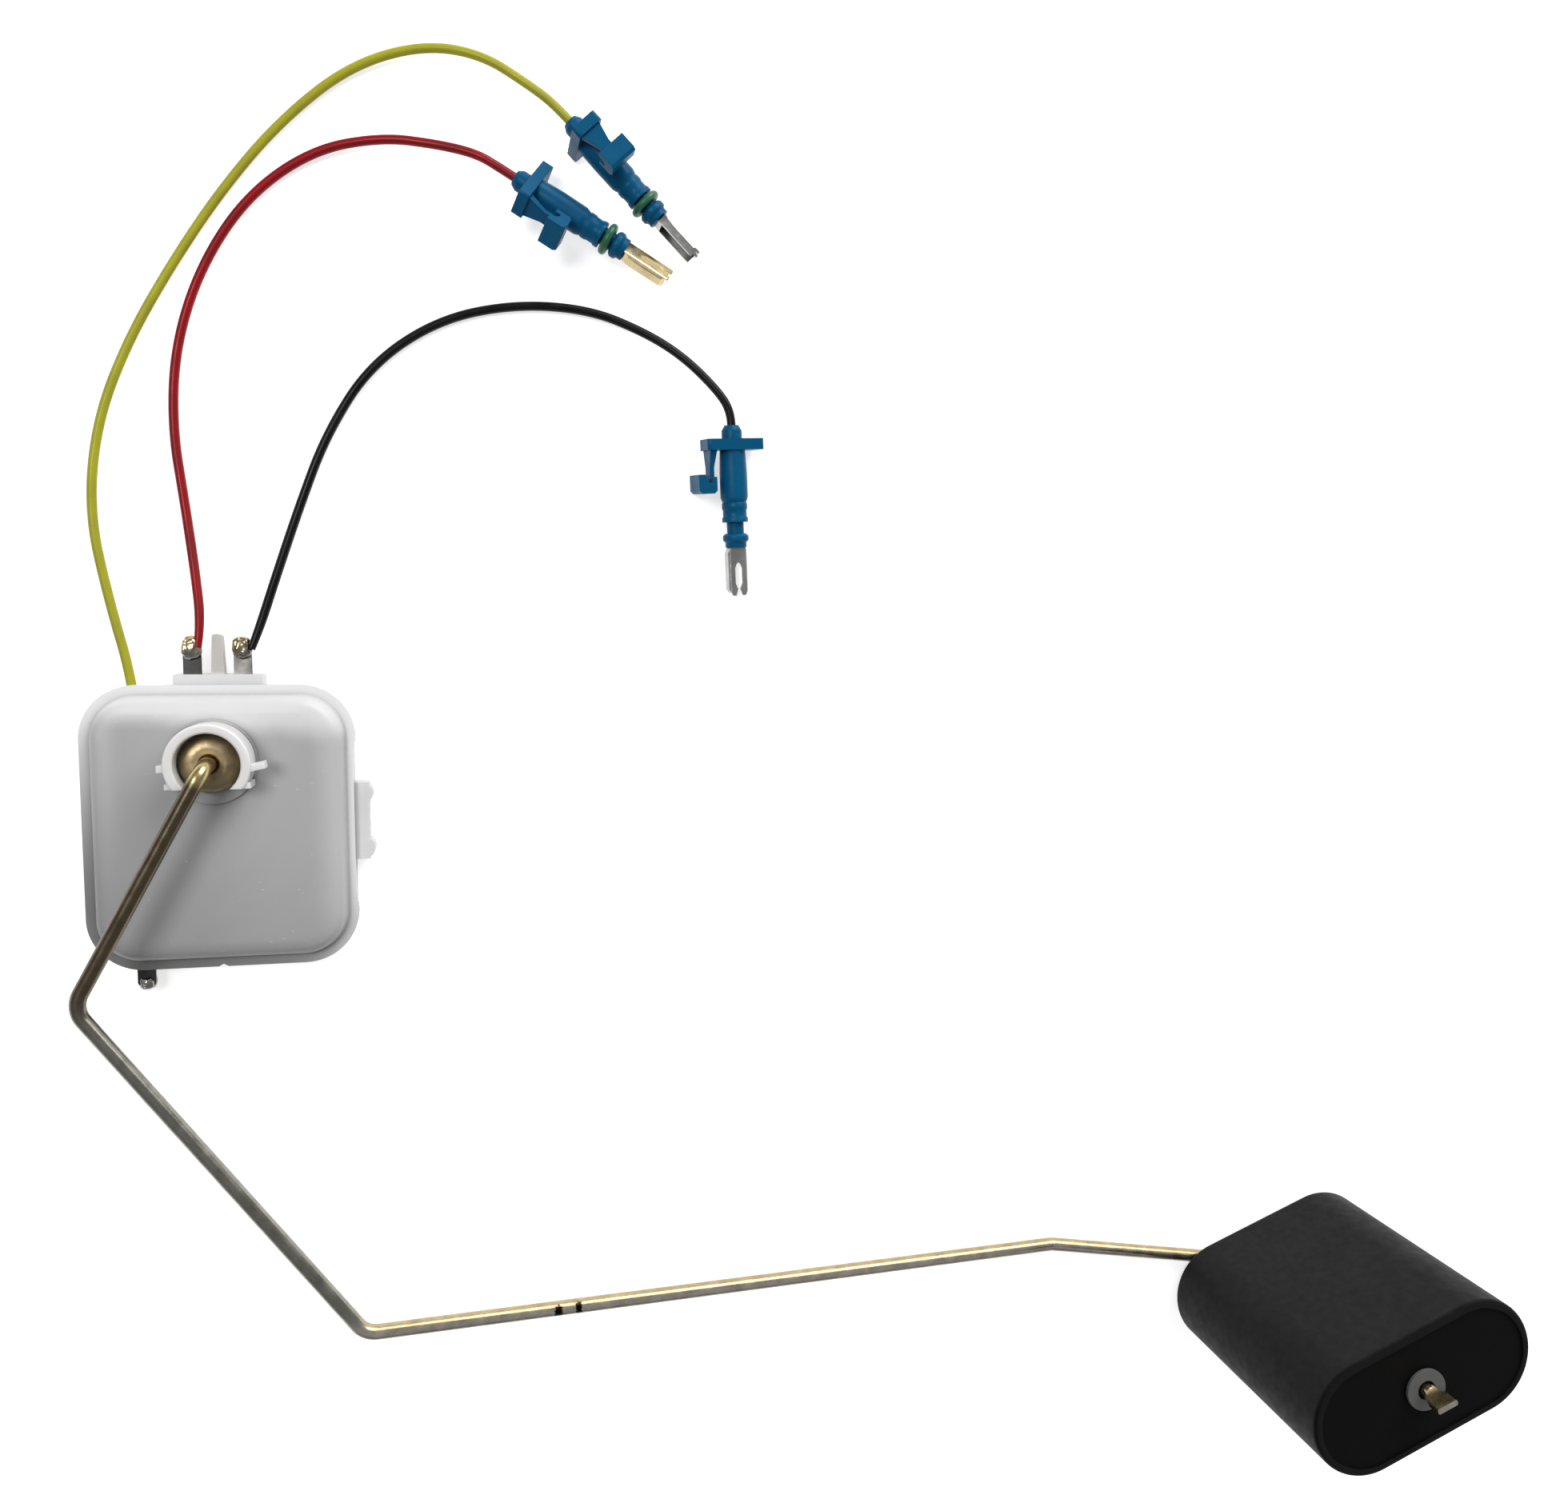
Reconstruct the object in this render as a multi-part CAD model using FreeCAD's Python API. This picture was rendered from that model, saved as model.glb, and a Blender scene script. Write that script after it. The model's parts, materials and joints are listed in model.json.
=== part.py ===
import FreeCAD, Part
import math
import os

from FreeCAD import Rotation
from FreeCAD import Vector as V

# Fuel level sender, lying on its back.
# Millimetres. The origin is where the hub's axis meets the housing's flat back, +Z is
# the hub's axis towards the arm, +Y points to the two terminals and +X to the side clip.

# Housing outline
HOUSING_WIDTH = 51.0
HOUSING_HEIGHT = 56.2
HUB_TO_TOP = 14.7
HUB_OFF_MIDDLE = 0.6
CORNER_RADIUS = 10.5

# Housing section, from the back up
BASE_HEIGHT = 4.8
BASE_FLOOR = 1.5
PIECE_ROOT = 0.5
WALL = 1.6
FLANGE_OVERHANG = 0.6
FLANGE_THICKNESS = 1.6
PANEL_RISE = 4.1
PANEL_WALL = 1.5
# Raised panel: share of its rise, and how far in from the flange's edge
PANEL_PROFILE = ((0.0, 1.9), (0.52, 2.4), (0.74, 2.8), (0.87, 3.4), (0.95, 4.3),
                 (0.99, 5.4), (1.0, 6.6))
# The same for the space under it, which follows it more plainly
PANEL_INSIDE = ((0.0, 1.9), (0.87, 3.4), (1.0, 6.6))
FLANGE_RECESS_DEPTH = 0.5
FLANGE_RECESS_TOP = 3.3
FLANGE_RECESS_BOTTOM = -27.0
FLANGE_RECESS_TOP_RUN = 0.8
FLANGE_RECESS_BOTTOM_RUN = 4.0
GATE_MARK_WIDTH = 1.8
GATE_MARK_DEPTH = 0.5

# Side clip
CLIP_TOP = -5.2
CLIP_LENGTH = 15.8
CLIP_REACH = 2.3
CLIP_HEIGHT = 3.8
CLIP_LIFT = 0.8
CLIP_BEAD_RADIUS = 2.3
CLIP_BEAD_PROUD = 0.75
CLIP_LOWER_BEAD_SHIFT = 0.3

# Terminal block and divider post
BLOCK_LEFT = -7.7
BLOCK_RIGHT = 9.0
BLOCK_REACH = 2.0
BLOCK_LIFT = 0.8
BLOCK_TOP = 5.9
POST_X = 0.4
POST_ROOT_WIDTH = 2.5
POST_TIP_WIDTH = 1.8
POST_LENGTH = 7.9
POST_THICKNESS = 3.0
POST_LIFT = 1.6
POST_TIP_ROUNDING = 0.6

# Cord channel in the back
CHANNEL_WIDTH = 3.0
CHANNEL_DEPTH = 2.2
CHANNEL_ROOF = 0.8
CHANNEL_SIDE = 1.0
CHANNEL_BOTTOM_INSET = 10.2
CHANNEL_TOP_INSET = 9.2

# Hub, its bearing and its retaining clip
PIVOT_RADIUS = 1.8
RUNNING_GAP = 0.05
PIVOT_BOSS_WALL = 1.8
PIVOT_BOSS_TOP = 4.4
CARRIER_SEAT_RADIUS = 3.2
JOURNAL_RADIUS = 4.0
BEARING_RING_RADIUS = 8.2
BEARING_RING_RISE = 0.7
HUB_HEAD_RADIUS = 5.75
HUB_HEAD_HEIGHT = 2.1
HUB_CROWN_HEIGHT = 0.9
HUB_DOME_DROP = 1.0
# The head's dome: share of its radius, and of the rise from below the rim to the crown
HUB_DOME = ((1.0, 0.0), (0.985, 0.25), (0.93, 0.5), (0.84, 0.72), (0.70, 0.89), (0.52, 1.0))
HUB_PEEN_RADIUS = 2.0
HUB_PEEN_DEPTH = 0.5
HUB_GROOVE_HEIGHT = 1.2
PIVOT_END_GAP = 0.1
CARRIER_SEAT_DROP = 0.4
RETAINER_OUTER_RADIUS = 7.85
RETAINER_INNER_RADIUS = 6.05
RETAINER_HEIGHT = 6.8
RETAINER_CHAMFER = 0.3
RETAINER_LIP_HEIGHT = 0.9
RETAINER_LIP_GAP = 0.25
RETAINER_CUT_Y = -4.6
RETAINER_FOOT_REACH = 1.3
RETAINER_FOOT_WIDTH = 1.1
RETAINER_FOOT_DROP = 0.6
RETAINER_ROOT = 0.9
EAR_WIDTH = 1.3
EAR_LIFT = 2.6
EAR_DROP = 0.5
EAR_Y = -0.65
EAR_LEFT_REACH = 1.1
EAR_RIGHT_REACH = 2.5
EAR_RIGHT_TILT = 12.0

# Resistor card, its tracks and the sweep of the wiper
CARD_THICKNESS = 0.8
CARD_BESIDE_TRACK = 1.55
CARD_ABOVE_TRACK = 3.1
CARD_BELOW_TRACK = 2.9
CARD_STRIP_WIDTH = 3.6
CARD_CLEARANCE = 0.3
RIB_WIDTH = 2.4
PEG_LEFT_INSET = 2.2
PEG_DROP = 2.0
PEG_RADIUS = 0.9
PEG_GAP = 0.1
PEG_PROUD = 0.5
TRACK_THICKNESS = 0.12
TRACK_WIDTH = 2.4
TRACK_RADIUS = 25.4
CONTACT_TRACK_RADIUS = 21.4
SWEEP_BELOW_REST = 5.5
SWEEP_ABOVE_REST = 62.5
TRACK_MARGIN = 3.0
STOP_POST_RADIUS = 1.5
STOP_POST_CIRCLE = 13.0
STOP_MARGIN = 1.5

# Wiper
CARRIER_RADIUS = 6.0
CARRIER_BOTTOM = 5.5
CARRIER_TOP = 8.2
CARRIER_ARM_THICKNESS = 1.7
CARRIER_ARM_HALF_ROOT = 3.4
CARRIER_ARM_HALF_TIP = 2.4
CARRIER_ARM_LENGTH = 17.0
SPRING_THICKNESS = 0.3
SPRING_START = 9.5
FINGER_WIDTH = 1.5
FINGER_GAP = 1.0
FINGER_PAST_CONTACT = 0.9
FINGER_ROOT = 0.2
CONTACT_RADIUS = 0.7
CONTACT_TIP_RADIUS = 0.35
CONTACT_GAP = 0.05

# Terminals and their solder
BLADE_THICKNESS = 0.8
BLADE_WIDTH = 3.4
BLADE_RED_X = -4.25
BLADE_BLACK_X = 5.1
BLADE_PROUD = 5.7
BLADE_YELLOW_PROUD = 3.7
BLADE_CORNER = 0.8
BLADE_ON_PAD = 3.2
SLOT_GAP = 0.05
# Solder nuggets: width, length, height, and their middle from the blade's tip and top
SOLDER_UPPER = (3.9, 4.5, 3.0, -0.5, 0.2)
SOLDER_LOWER = (3.1, 3.2, 5.0, 0.6, -1.5)
SOLDER_ROUNDNESS = 0.44

# Arm wire: lengths in plan, and headings in plan from straight down, positive to +X
WIRE_DIAMETER = 3.0
ARM_PLANE = 21.0
LEG_1_LENGTH = 50.7
LEG_1_HEADING = -28.4
LEG_2_LENGTH = 85.6
LEG_2_HEADING = 36.2
LEG_3_LENGTH = 155.8
LEG_3_HEADING = 87.6
LEG_4_LENGTH = 58.9
LEG_4_HEADING = 79.8
HUB_BEND_RADIUS = 3.4
ELBOW_RADIUS = 5.0
FLOAT_BEND_RADIUS = 4.0
WIRE_SOCKET_DEPTH = 6.0

# Float
FLOAT_LENGTH = 56.2
FLOAT_END_RADIUS = 12.8
FLOAT_STRAIGHT = 27.4
FLOAT_EDGE_RADIUS = 1.0
FLOAT_RIM_WIDTH = 1.7
FLOAT_FACE_RECESS = 0.4
FLOAT_HEADING = 21.0
FLOAT_LIFT = 0.4
FLOAT_BORE_GAP = 0.08
FLOAT_MOUTH_RADIUS = 3.0
FLOAT_MOUTH_DEPTH = 2.4
WASHER_RADIUS = 4.5
WASHER_THICKNESS = 0.8
WASHER_HOLE_GAP = 0.55
WASHER_CLEARANCE = 0.3
WIRE_END_PROUD = 1.2
# The wire's flattened end
PRESSED_STEP = 1.0
PRESSED_FLARE = 1.2
PRESSED_LENGTH = 4.0
PRESSED_WIDTH = 4.8
PRESSED_NECK_WIDTH = 3.84
PRESSED_THICKNESS = 1.4
PRESSED_TIP_THICKNESS = 1.26
PRESSED_ROOT_HALF = 1.3
PRESSED_CORNER = 0.28

# Cords: hand-chosen routes, from the solder to the plug
CORD_DIAMETER = 1.85
YELLOW_ROUTE = (
    (-14.8, -44.0, 1.1), (-14.6, -37.0, 1.1), (-14.8, -21.0, 1.1), (-15.2, -3.0, 1.1),
    (-15.7, 14.5, 1.1), (-19.7, 31.5, 1.1), (-22.5, 48.0, 1.1), (-20.5, 65.0, 1.1),
    (-14.5, 80.5, 1.1), (-5.8, 96.0, 1.1), (3.9, 110.8, 1.1), (14.8, 124.1, 1.2),
    (27.6, 135.2, 1.4), (41.2, 140.2, 2.2), (52.8, 139.1, 3.7), (62.3, 133.2, 5.5),
    (66.9, 129.96, 6.06), (69.97, 126.82, 6.3))
RED_ROUTE = (
    (-3.0, 21.9, 5.6), (-2.75, 27.0, 5.0), (-3.3, 36.0, 3.1), (-5.1, 50.0, 1.4),
    (-6.95, 64.5, 1.1), (-5.9, 80.0, 1.1), (-0.9, 95.3, 1.1), (8.0, 109.3, 1.1),
    (20.4, 118.9, 1.3), (33.4, 122.0, 2.3), (43.5, 121.0, 4.3), (51.5, 119.4, 5.6),
    (56.03, 117.01, 5.86), (59.04, 115.23, 6.0))
BLACK_ROUTE = (
    (6.9, 21.7, 5.6), (8.5, 25.8, 5.0), (11.6, 36.0, 3.1), (16.2, 50.0, 1.4),
    (21.6, 64.3, 1.1), (30.3, 78.3, 1.1), (43.7, 87.9, 1.1), (59.0, 91.8, 1.1),
    (74.0, 91.5, 1.3), (85.3, 87.4, 2.0), (93.2, 82.6, 3.4), (100.1, 76.0, 4.5),
    (103.07, 71.71, 4.71), (103.24, 68.72, 4.5))

# Plugs, in their own frame: the cord enters at the origin and the tip points to +X,
# the latch is on +Y
PLUG_BOSS_LENGTH = 2.8
PLUG_BOSS_RADIUS = 2.15
# The boss's domed end: share of its radius, and of its length
PLUG_BOSS_DOME = ((0.7, 0.0), (1.0, 0.4), (1.0, 1.0))
PLUG_PLATE_THICKNESS = 2.3
PLUG_PLATE_LATCH_SIDE = 6.3
PLUG_PLATE_OTHER_SIDE = 6.2
PLUG_PLATE_HALF_HEIGHT = 3.0
PLUG_PLATE_CORNER = 0.8
PLUG_BARREL_LENGTH = 10.5
PLUG_BARREL_RADIUS = 2.92
PLUG_BARREL_TAPER = 0.22
PLUG_BARREL_WIDEST = 0.45
PLUG_NOSE_LENGTH = 3.3
PLUG_NOSE_RADIUS = 2.52
PLUG_SHOULDER_LENGTH = 1.2
PLUG_SHOULDER_RADIUS = 2.75
PLUG_GROOVE_LENGTH = 2.4
PLUG_GROOVE_RADIUS = 1.8
PLUG_COLLAR_LENGTH = 1.9
PLUG_COLLAR_RADIUS = 2.75
PLUG_COLLAR_CHAMFER = 0.5
PLUG_TAPER_LENGTH = 1.0
PLUG_TAPER_RADIUS = 2.25
RING_LINE_DEPTH = 0.18
RING_LINE_WIDTH = 0.35
LATCH_INNER = 4.7
LATCH_THICKNESS = 1.0
LATCH_ROOT_THICKNESS = 1.7
LATCH_LENGTH = 8.9
LATCH_ROOT_HALF_WIDTH = 2.6
LATCH_HALF_WIDTH = 1.35
LATCH_WAIST = 0.4
HOOK_HALF_WIDTH = 3.1
HOOK_FLOOR = 2.2
HOOK_NOTCH = 1.2
HOOK_WALL_ROOT = 1.8
HOOK_WALL_TIP = 1.5
HOOK_HEIGHT = 3.9
HOOK_INNER_HEIGHT = 3.4
HOOK_CHAMFER = 0.6
FORK_LENGTH = 10.2
FORK_HALF_WIDTH = 2.25
FORK_HALF_HEIGHT = 1.1
FORK_EDGE_RADIUS = 0.8
FORK_SHEET = 0.5
# Half the slot's width at distances from the crown's end, and before the tips
FORK_SLOT_START = ((0.0, 0.15), (0.4, 0.5), (1.2, 0.8))
FORK_SLOT_END = ((2.6, 0.8), (1.4, 0.28), (0.0, 0.75))
FORK_CROWN_LENGTH = 3.2
FORK_CROWN_HALF_WIDTH = 1.75
FORK_CROWN_FLARE = 1.4
FORK_NECK = 1.3
FORK_TINE_TAPER = 1.4
FORK_TINE_TIP_HALF = 1.4
FORK_SHANK = 3.0
FORK_SHANK_RADIUS = 1.05
O_RING_SECTION = 1.55

# Plug places: where the cord enters, the heading in plan from +X, the drop towards the
# tip, and the roll
PLUG_PLACES = {
    "yellow": ((69.97, 126.82, 6.3), -45.6, -3.1, 86.4),
    "red": ((59.04, 115.23, 6.0), -30.6, -2.3, 143.7),
    "black": ((103.24, 68.72, 4.5), -86.7, 4.0, 171.0)}

# Sizes that follow from the ones above
HOUSING_RIGHT = HOUSING_WIDTH / 2 + HUB_OFF_MIDDLE
HOUSING_LEFT = HOUSING_RIGHT - HOUSING_WIDTH
HOUSING_BOTTOM = HUB_TO_TOP - HOUSING_HEIGHT
WALL_INSET = FLANGE_OVERHANG + WALL
RIB_TOP = CHANNEL_DEPTH + CHANNEL_ROOF
CHANNEL_BOTTOM_X = HOUSING_LEFT + CHANNEL_BOTTOM_INSET
CHANNEL_TOP_X = HOUSING_LEFT + CHANNEL_TOP_INSET
BLADE_YELLOW_X = CHANNEL_BOTTOM_X
BLADE_TIP_Y = HUB_TO_TOP + BLOCK_REACH + BLADE_PROUD
BLADE_YELLOW_TIP_Y = HOUSING_BOTTOM - BLADE_YELLOW_PROUD
TRACK_LOW = LEG_1_HEADING - SWEEP_BELOW_REST - TRACK_MARGIN
TRACK_HIGH = LEG_1_HEADING + SWEEP_ABOVE_REST + TRACK_MARGIN
TRACK_SPREAD = math.radians(max(-TRACK_LOW, TRACK_HIGH))
TRACK_OUTER_RADIUS = TRACK_RADIUS + TRACK_WIDTH / 2
TRACK_INNER_RADIUS = CONTACT_TRACK_RADIUS - TRACK_WIDTH / 2
CARD_HALF_WIDTH = TRACK_OUTER_RADIUS * math.sin(TRACK_SPREAD) + CARD_BESIDE_TRACK
CARD_BOTTOM_Y = -TRACK_OUTER_RADIUS - CARD_BELOW_TRACK
CARD_TOP_Y = CARD_ABOVE_TRACK - TRACK_INNER_RADIUS * math.cos(TRACK_SPREAD)
PANEL_BOTTOM = BASE_HEIGHT + FLANGE_THICKNESS
PANEL_TOP = PANEL_BOTTOM + PANEL_RISE
RING_TOP = PANEL_TOP + BEARING_RING_RISE
HEAD_BOTTOM = RING_TOP + HUB_GROOVE_HEIGHT
HEAD_TOP = HEAD_BOTTOM + HUB_HEAD_HEIGHT
CARD_TOP = RIB_TOP + CARD_THICKNESS
WIRE_RADIUS = WIRE_DIAMETER / 2
FLOAT_BOTTOM = WIRE_DIAMETER + FLOAT_LIFT
FLOAT_TOP = FLOAT_BOTTOM + FLOAT_LENGTH
WASHER_BOTTOM = FLOAT_TOP - FLOAT_FACE_RECESS + WASHER_CLEARANCE
WASHER_TOP = WASHER_BOTTOM + WASHER_THICKNESS


def box(x0, y0, z0, x1, y1, z1):
    """A box between two corners."""
    return Part.makeBox(x1 - x0, y1 - y0, z1 - z0, V(x0, y0, z0))


def cylinder(radius, z0, z1, x=0.0, y=0.0):
    """An upright cylinder."""
    return Part.makeCylinder(radius, z1 - z0, V(x, y, z0))


def fuse_all(shapes):
    """One clean solid from several that meet or overlap."""
    body = shapes[0].multiFuse(list(shapes[1:]))
    return body.removeSplitter()


def turned(profile):
    """A solid of revolution about +Z from (radius, height) points."""
    face = polygon_face([V(r, 0, z) for r, z in profile])
    return face.revolve(V(0, 0, 0), V(0, 0, 1), 360)


def heading(degrees):
    """Unit vector in plan, from straight down, positive to +X."""
    a = math.radians(degrees)
    return V(math.sin(a), -math.cos(a), 0)


def spun(shape, degrees):
    """A copy turned about the hub's axis."""
    copy = shape.copy()
    copy.rotate(V(0, 0, 0), V(0, 0, 1), degrees)
    return copy


def housing_outline(inset, z):
    """The housing's rounded outline, taken in from the flange's edge."""
    left = HOUSING_LEFT + inset
    right = HOUSING_RIGHT - inset
    top = HUB_TO_TOP - inset
    bottom = HOUSING_BOTTOM + inset
    r = CORNER_RADIUS - inset
    q = r * (1 - math.sqrt(0.5))
    corners = (
        (V(left, bottom + r, z), V(left + q, bottom + q, z), V(left + r, bottom, z)),
        (V(right - r, bottom, z), V(right - q, bottom + q, z), V(right, bottom + r, z)),
        (V(right, top - r, z), V(right - q, top - q, z), V(right - r, top, z)),
        (V(left + r, top, z), V(left + q, top - q, z), V(left, top - r, z)))
    edges = []
    for i, (start, middle, end) in enumerate(corners):
        edges.append(Part.Arc(start, middle, end).toShape())
        edges.append(Part.LineSegment(end, corners[(i + 1) % 4][0]).toShape())
    return Part.Wire(edges)


def housing_slab(inset, z0, z1):
    """A plain slab of the housing's outline."""
    return Part.Face(housing_outline(inset, z0)).extrude(V(0, 0, z1 - z0))


def polygon_face(points):
    """A flat face from its corners."""
    return Part.Face(Part.makePolygon(list(points) + [points[0]]))


def panel_form(profile, wall):
    """The raised panel, or the space under it when a wall is taken off."""
    return rounded_plateau([
        (CORNER_RADIUS - inset - wall, PANEL_BOTTOM + share * PANEL_RISE - wall)
        for share, inset in profile])


def rounded_plateau(section):
    """A block with its (reach, height) section run round the four corners' centres."""
    left = HOUSING_LEFT + CORNER_RADIUS
    right = HOUSING_RIGHT - CORNER_RADIUS
    bottom = HOUSING_BOTTOM + CORNER_RADIUS
    top = HUB_TO_TOP - CORNER_RADIUS
    low = section[0][1]
    high = section[-1][1]
    ring = [(0, low)] + list(section) + [(0, high)]
    pieces = [box(left, bottom, low, right, top, high)]
    sides = ((V(left, bottom, 0), V(0, -1, 0), V(right - left, 0, 0)),
             (V(right, bottom, 0), V(1, 0, 0), V(0, top - bottom, 0)),
             (V(right, top, 0), V(0, 1, 0), V(left - right, 0, 0)),
             (V(left, top, 0), V(-1, 0, 0), V(0, bottom - top, 0)))
    for corner, outward, along in sides:
        face = polygon_face([corner + outward * reach + V(0, 0, z) for reach, z in ring])
        pieces.append(face.extrude(along))
        pieces.append(face.revolve(corner, V(0, 0, 1), -90))
    return fuse_all(pieces)


def bent_path(points, radii):
    """Straight runs joined by tangent arcs, one radius for each inner point."""
    edges = []
    start = points[0]
    for i in range(1, len(points) - 1):
        back = (points[i - 1] - points[i]).normalize()
        ahead = (points[i + 1] - points[i]).normalize()
        half = back.getAngle(ahead) / 2
        setback = radii[i - 1] / math.tan(half)
        a = points[i] + back * setback
        b = points[i] + ahead * setback
        inward = (back + ahead).normalize()
        middle = points[i] + inward * (radii[i - 1] / math.sin(half) - radii[i - 1])
        edges.append(Part.LineSegment(start, a).toShape())
        edges.append(Part.Arc(a, middle, b).toShape())
        start = b
    edges.append(Part.LineSegment(start, points[-1]).toShape())
    return Part.Wire(edges)


def swept_rod(path, radius):
    """A round rod along a path."""
    start = path.Edges[0].Vertexes[0].Point
    direction = path.Edges[0].tangentAt(path.Edges[0].FirstParameter)
    section = Part.Wire(Part.makeCircle(radius, start, direction))
    return path.makePipeShell([section], True, False)


def base_shell():
    """Moulded back half, with the block, post, clip, ribs, stops and cord channel."""
    tray = housing_slab(FLANGE_OVERHANG, 0, BASE_HEIGHT)
    tray = tray.cut(housing_slab(WALL_INSET, BASE_FLOOR, BASE_HEIGHT + 1))
    ridge = channel_strip(CHANNEL_WIDTH + 2 * CHANNEL_SIDE, PIECE_ROOT, RIB_TOP)
    pieces = [tray, ridge, card_rib(), terminal_block(), side_clip()]
    pieces.append(cylinder(PIVOT_RADIUS + PIVOT_BOSS_WALL, PIECE_ROOT, PIVOT_BOSS_TOP))
    post_top = CARRIER_BOTTOM + CARRIER_ARM_THICKNESS
    for x, y in stop_places():
        pieces.append(cylinder(STOP_POST_RADIUS, PIECE_ROOT, post_top, x, y))
    for x, y in peg_places():
        pieces.append(cylinder(PEG_RADIUS, PIECE_ROOT, CARD_TOP + PEG_PROUD, x, y))
    body = fuse_all(pieces)
    body = body.cut(channel_strip(CHANNEL_WIDTH, -1, CHANNEL_DEPTH, open_ends=True))
    body = body.cut(cylinder(PIVOT_RADIUS + RUNNING_GAP, BASE_FLOOR, PIVOT_BOSS_TOP + 1))
    for slot in blade_slots():
        body = body.cut(slot)
    return body.removeSplitter()


def channel_strip(width, z0, z1, open_ends=False):
    """The slightly leaning strip that the cord channel follows across the back."""
    top = HUB_TO_TOP - FLANGE_OVERHANG
    bottom = HOUSING_BOTTOM + FLANGE_OVERHANG
    extra = WALL if open_ends else -WALL / 5
    lean = (CHANNEL_TOP_X - CHANNEL_BOTTOM_X) / (top - bottom)
    x_low = CHANNEL_BOTTOM_X - lean * extra
    x_high = CHANNEL_TOP_X + lean * extra
    half = width / 2
    strip = polygon_face([
        V(x_low - half, bottom - extra, z0), V(x_low + half, bottom - extra, z0),
        V(x_high + half, top + extra, z0), V(x_high - half, top + extra, z0)])
    return strip.extrude(V(0, 0, z1 - z0))


def card_rib():
    """The rib that carries the card's right edge."""
    return box(CARD_HALF_WIDTH - RIB_WIDTH, CARD_BOTTOM_Y, PIECE_ROOT, CARD_HALF_WIDTH,
               CARD_TOP_Y, RIB_TOP)


def peg_places():
    """The pegs that locate the card, on the channel's roof and on the rib."""
    y = CARD_TOP_Y - PEG_DROP
    return ((PEG_LEFT_INSET - CARD_HALF_WIDTH, y), (CARD_HALF_WIDTH - RIB_WIDTH / 2, y))


def stop_places():
    """The two posts that end the wiper's sweep."""
    arm_half = math.degrees(math.asin(CARRIER_ARM_HALF_ROOT / STOP_POST_CIRCLE))
    post_half = math.degrees(math.asin(STOP_POST_RADIUS / STOP_POST_CIRCLE))
    reach = arm_half + post_half + STOP_MARGIN
    low = LEG_1_HEADING - SWEEP_BELOW_REST - reach
    high = LEG_1_HEADING + SWEEP_ABOVE_REST + reach
    places = []
    for angle in (low, high):
        p = heading(angle) * STOP_POST_CIRCLE
        places.append((p.x, p.y))
    return places


def terminal_block():
    """The block that the two upper blades come out of, with the post between them."""
    top = HUB_TO_TOP + BLOCK_REACH
    wall_in = HUB_TO_TOP - WALL_INSET
    lower = box(BLOCK_LEFT, wall_in, BLOCK_LIFT, BLOCK_RIGHT, top, BASE_HEIGHT)
    upper = box(BLOCK_LEFT, HUB_TO_TOP, BLOCK_LIFT, BLOCK_RIGHT, top, BLOCK_TOP)
    root = POST_ROOT_WIDTH / 2
    tip = POST_TIP_WIDTH / 2
    start = top - PIECE_ROOT
    end = top + POST_LENGTH
    outline = polygon_face([
        V(POST_X - root, start, POST_LIFT), V(POST_X + root, start, POST_LIFT),
        V(POST_X + tip, end, POST_LIFT), V(POST_X - tip, end, POST_LIFT)])
    post = outline.extrude(V(0, 0, POST_THICKNESS))
    tips = [e for e in post.Edges if e.BoundBox.ZLength > POST_THICKNESS * 0.9
            and e.CenterOfMass.y > end - POST_TIP_ROUNDING]
    return fuse_all([lower, upper, post.makeFillet(POST_TIP_ROUNDING, tips)])


def side_clip():
    """The lug on the right edge, with a bead at each end of its waist."""
    wall = HOUSING_RIGHT - FLANGE_OVERHANG
    outer = HOUSING_RIGHT + CLIP_REACH
    top = CLIP_TOP
    bottom = CLIP_TOP - CLIP_LENGTH
    z0 = CLIP_LIFT
    z1 = CLIP_LIFT + CLIP_HEIGHT
    bar = box(wall - WALL / 2, bottom, z0, outer, top, z1)
    bead_x = outer + CLIP_BEAD_PROUD - CLIP_BEAD_RADIUS
    beads = [cylinder(CLIP_BEAD_RADIUS, z0, z1, bead_x, top - CLIP_BEAD_RADIUS),
             cylinder(CLIP_BEAD_RADIUS, z0, z1, bead_x + CLIP_LOWER_BEAD_SHIFT,
                      bottom + CLIP_BEAD_RADIUS)]
    return fuse_all([bar] + beads)


def blade_slots():
    """The slots for the three blades, open at the wall's top and closed in the block."""
    half = BLADE_WIDTH / 2 + SLOT_GAP
    inner = HUB_TO_TOP - WALL_INSET - 1
    outer = HUB_TO_TOP + BLOCK_REACH + 1
    z0 = CARD_TOP
    z1 = CARD_TOP + BLADE_THICKNESS + SLOT_GAP
    slots = []
    for x in (BLADE_RED_X, BLADE_BLACK_X):
        slots.append(box(x - half, inner, z0, x + half, outer, z1))
        slots.append(box(x - half, inner, z0, x + half, HUB_TO_TOP, BASE_HEIGHT + 1))
    slots.append(box(BLADE_YELLOW_X - half, HOUSING_BOTTOM - 1, z0, BLADE_YELLOW_X + half,
                     HOUSING_BOTTOM + WALL_INSET + 1, BASE_HEIGHT + 1))
    return slots


def lid():
    """Moulded front half: flange, raised panel and bearing ring."""
    flange = housing_slab(0, BASE_HEIGHT, PANEL_BOTTOM)
    flange = flange.cut(flange_recess()).cut(gate_mark())
    ring = cylinder(BEARING_RING_RADIUS, PANEL_TOP - PIECE_ROOT, RING_TOP)
    body = fuse_all([flange, panel_form(PANEL_PROFILE, 0), ring])
    space = housing_slab(FLANGE_OVERHANG + PANEL_WALL + PANEL_PROFILE[0][1], BASE_HEIGHT - 1,
                         PANEL_BOTTOM)
    body = body.cut(space).cut(panel_form(PANEL_INSIDE, PANEL_WALL))
    return body.cut(cylinder(JOURNAL_RADIUS + RUNNING_GAP, 0, RING_TOP + 1))


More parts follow.
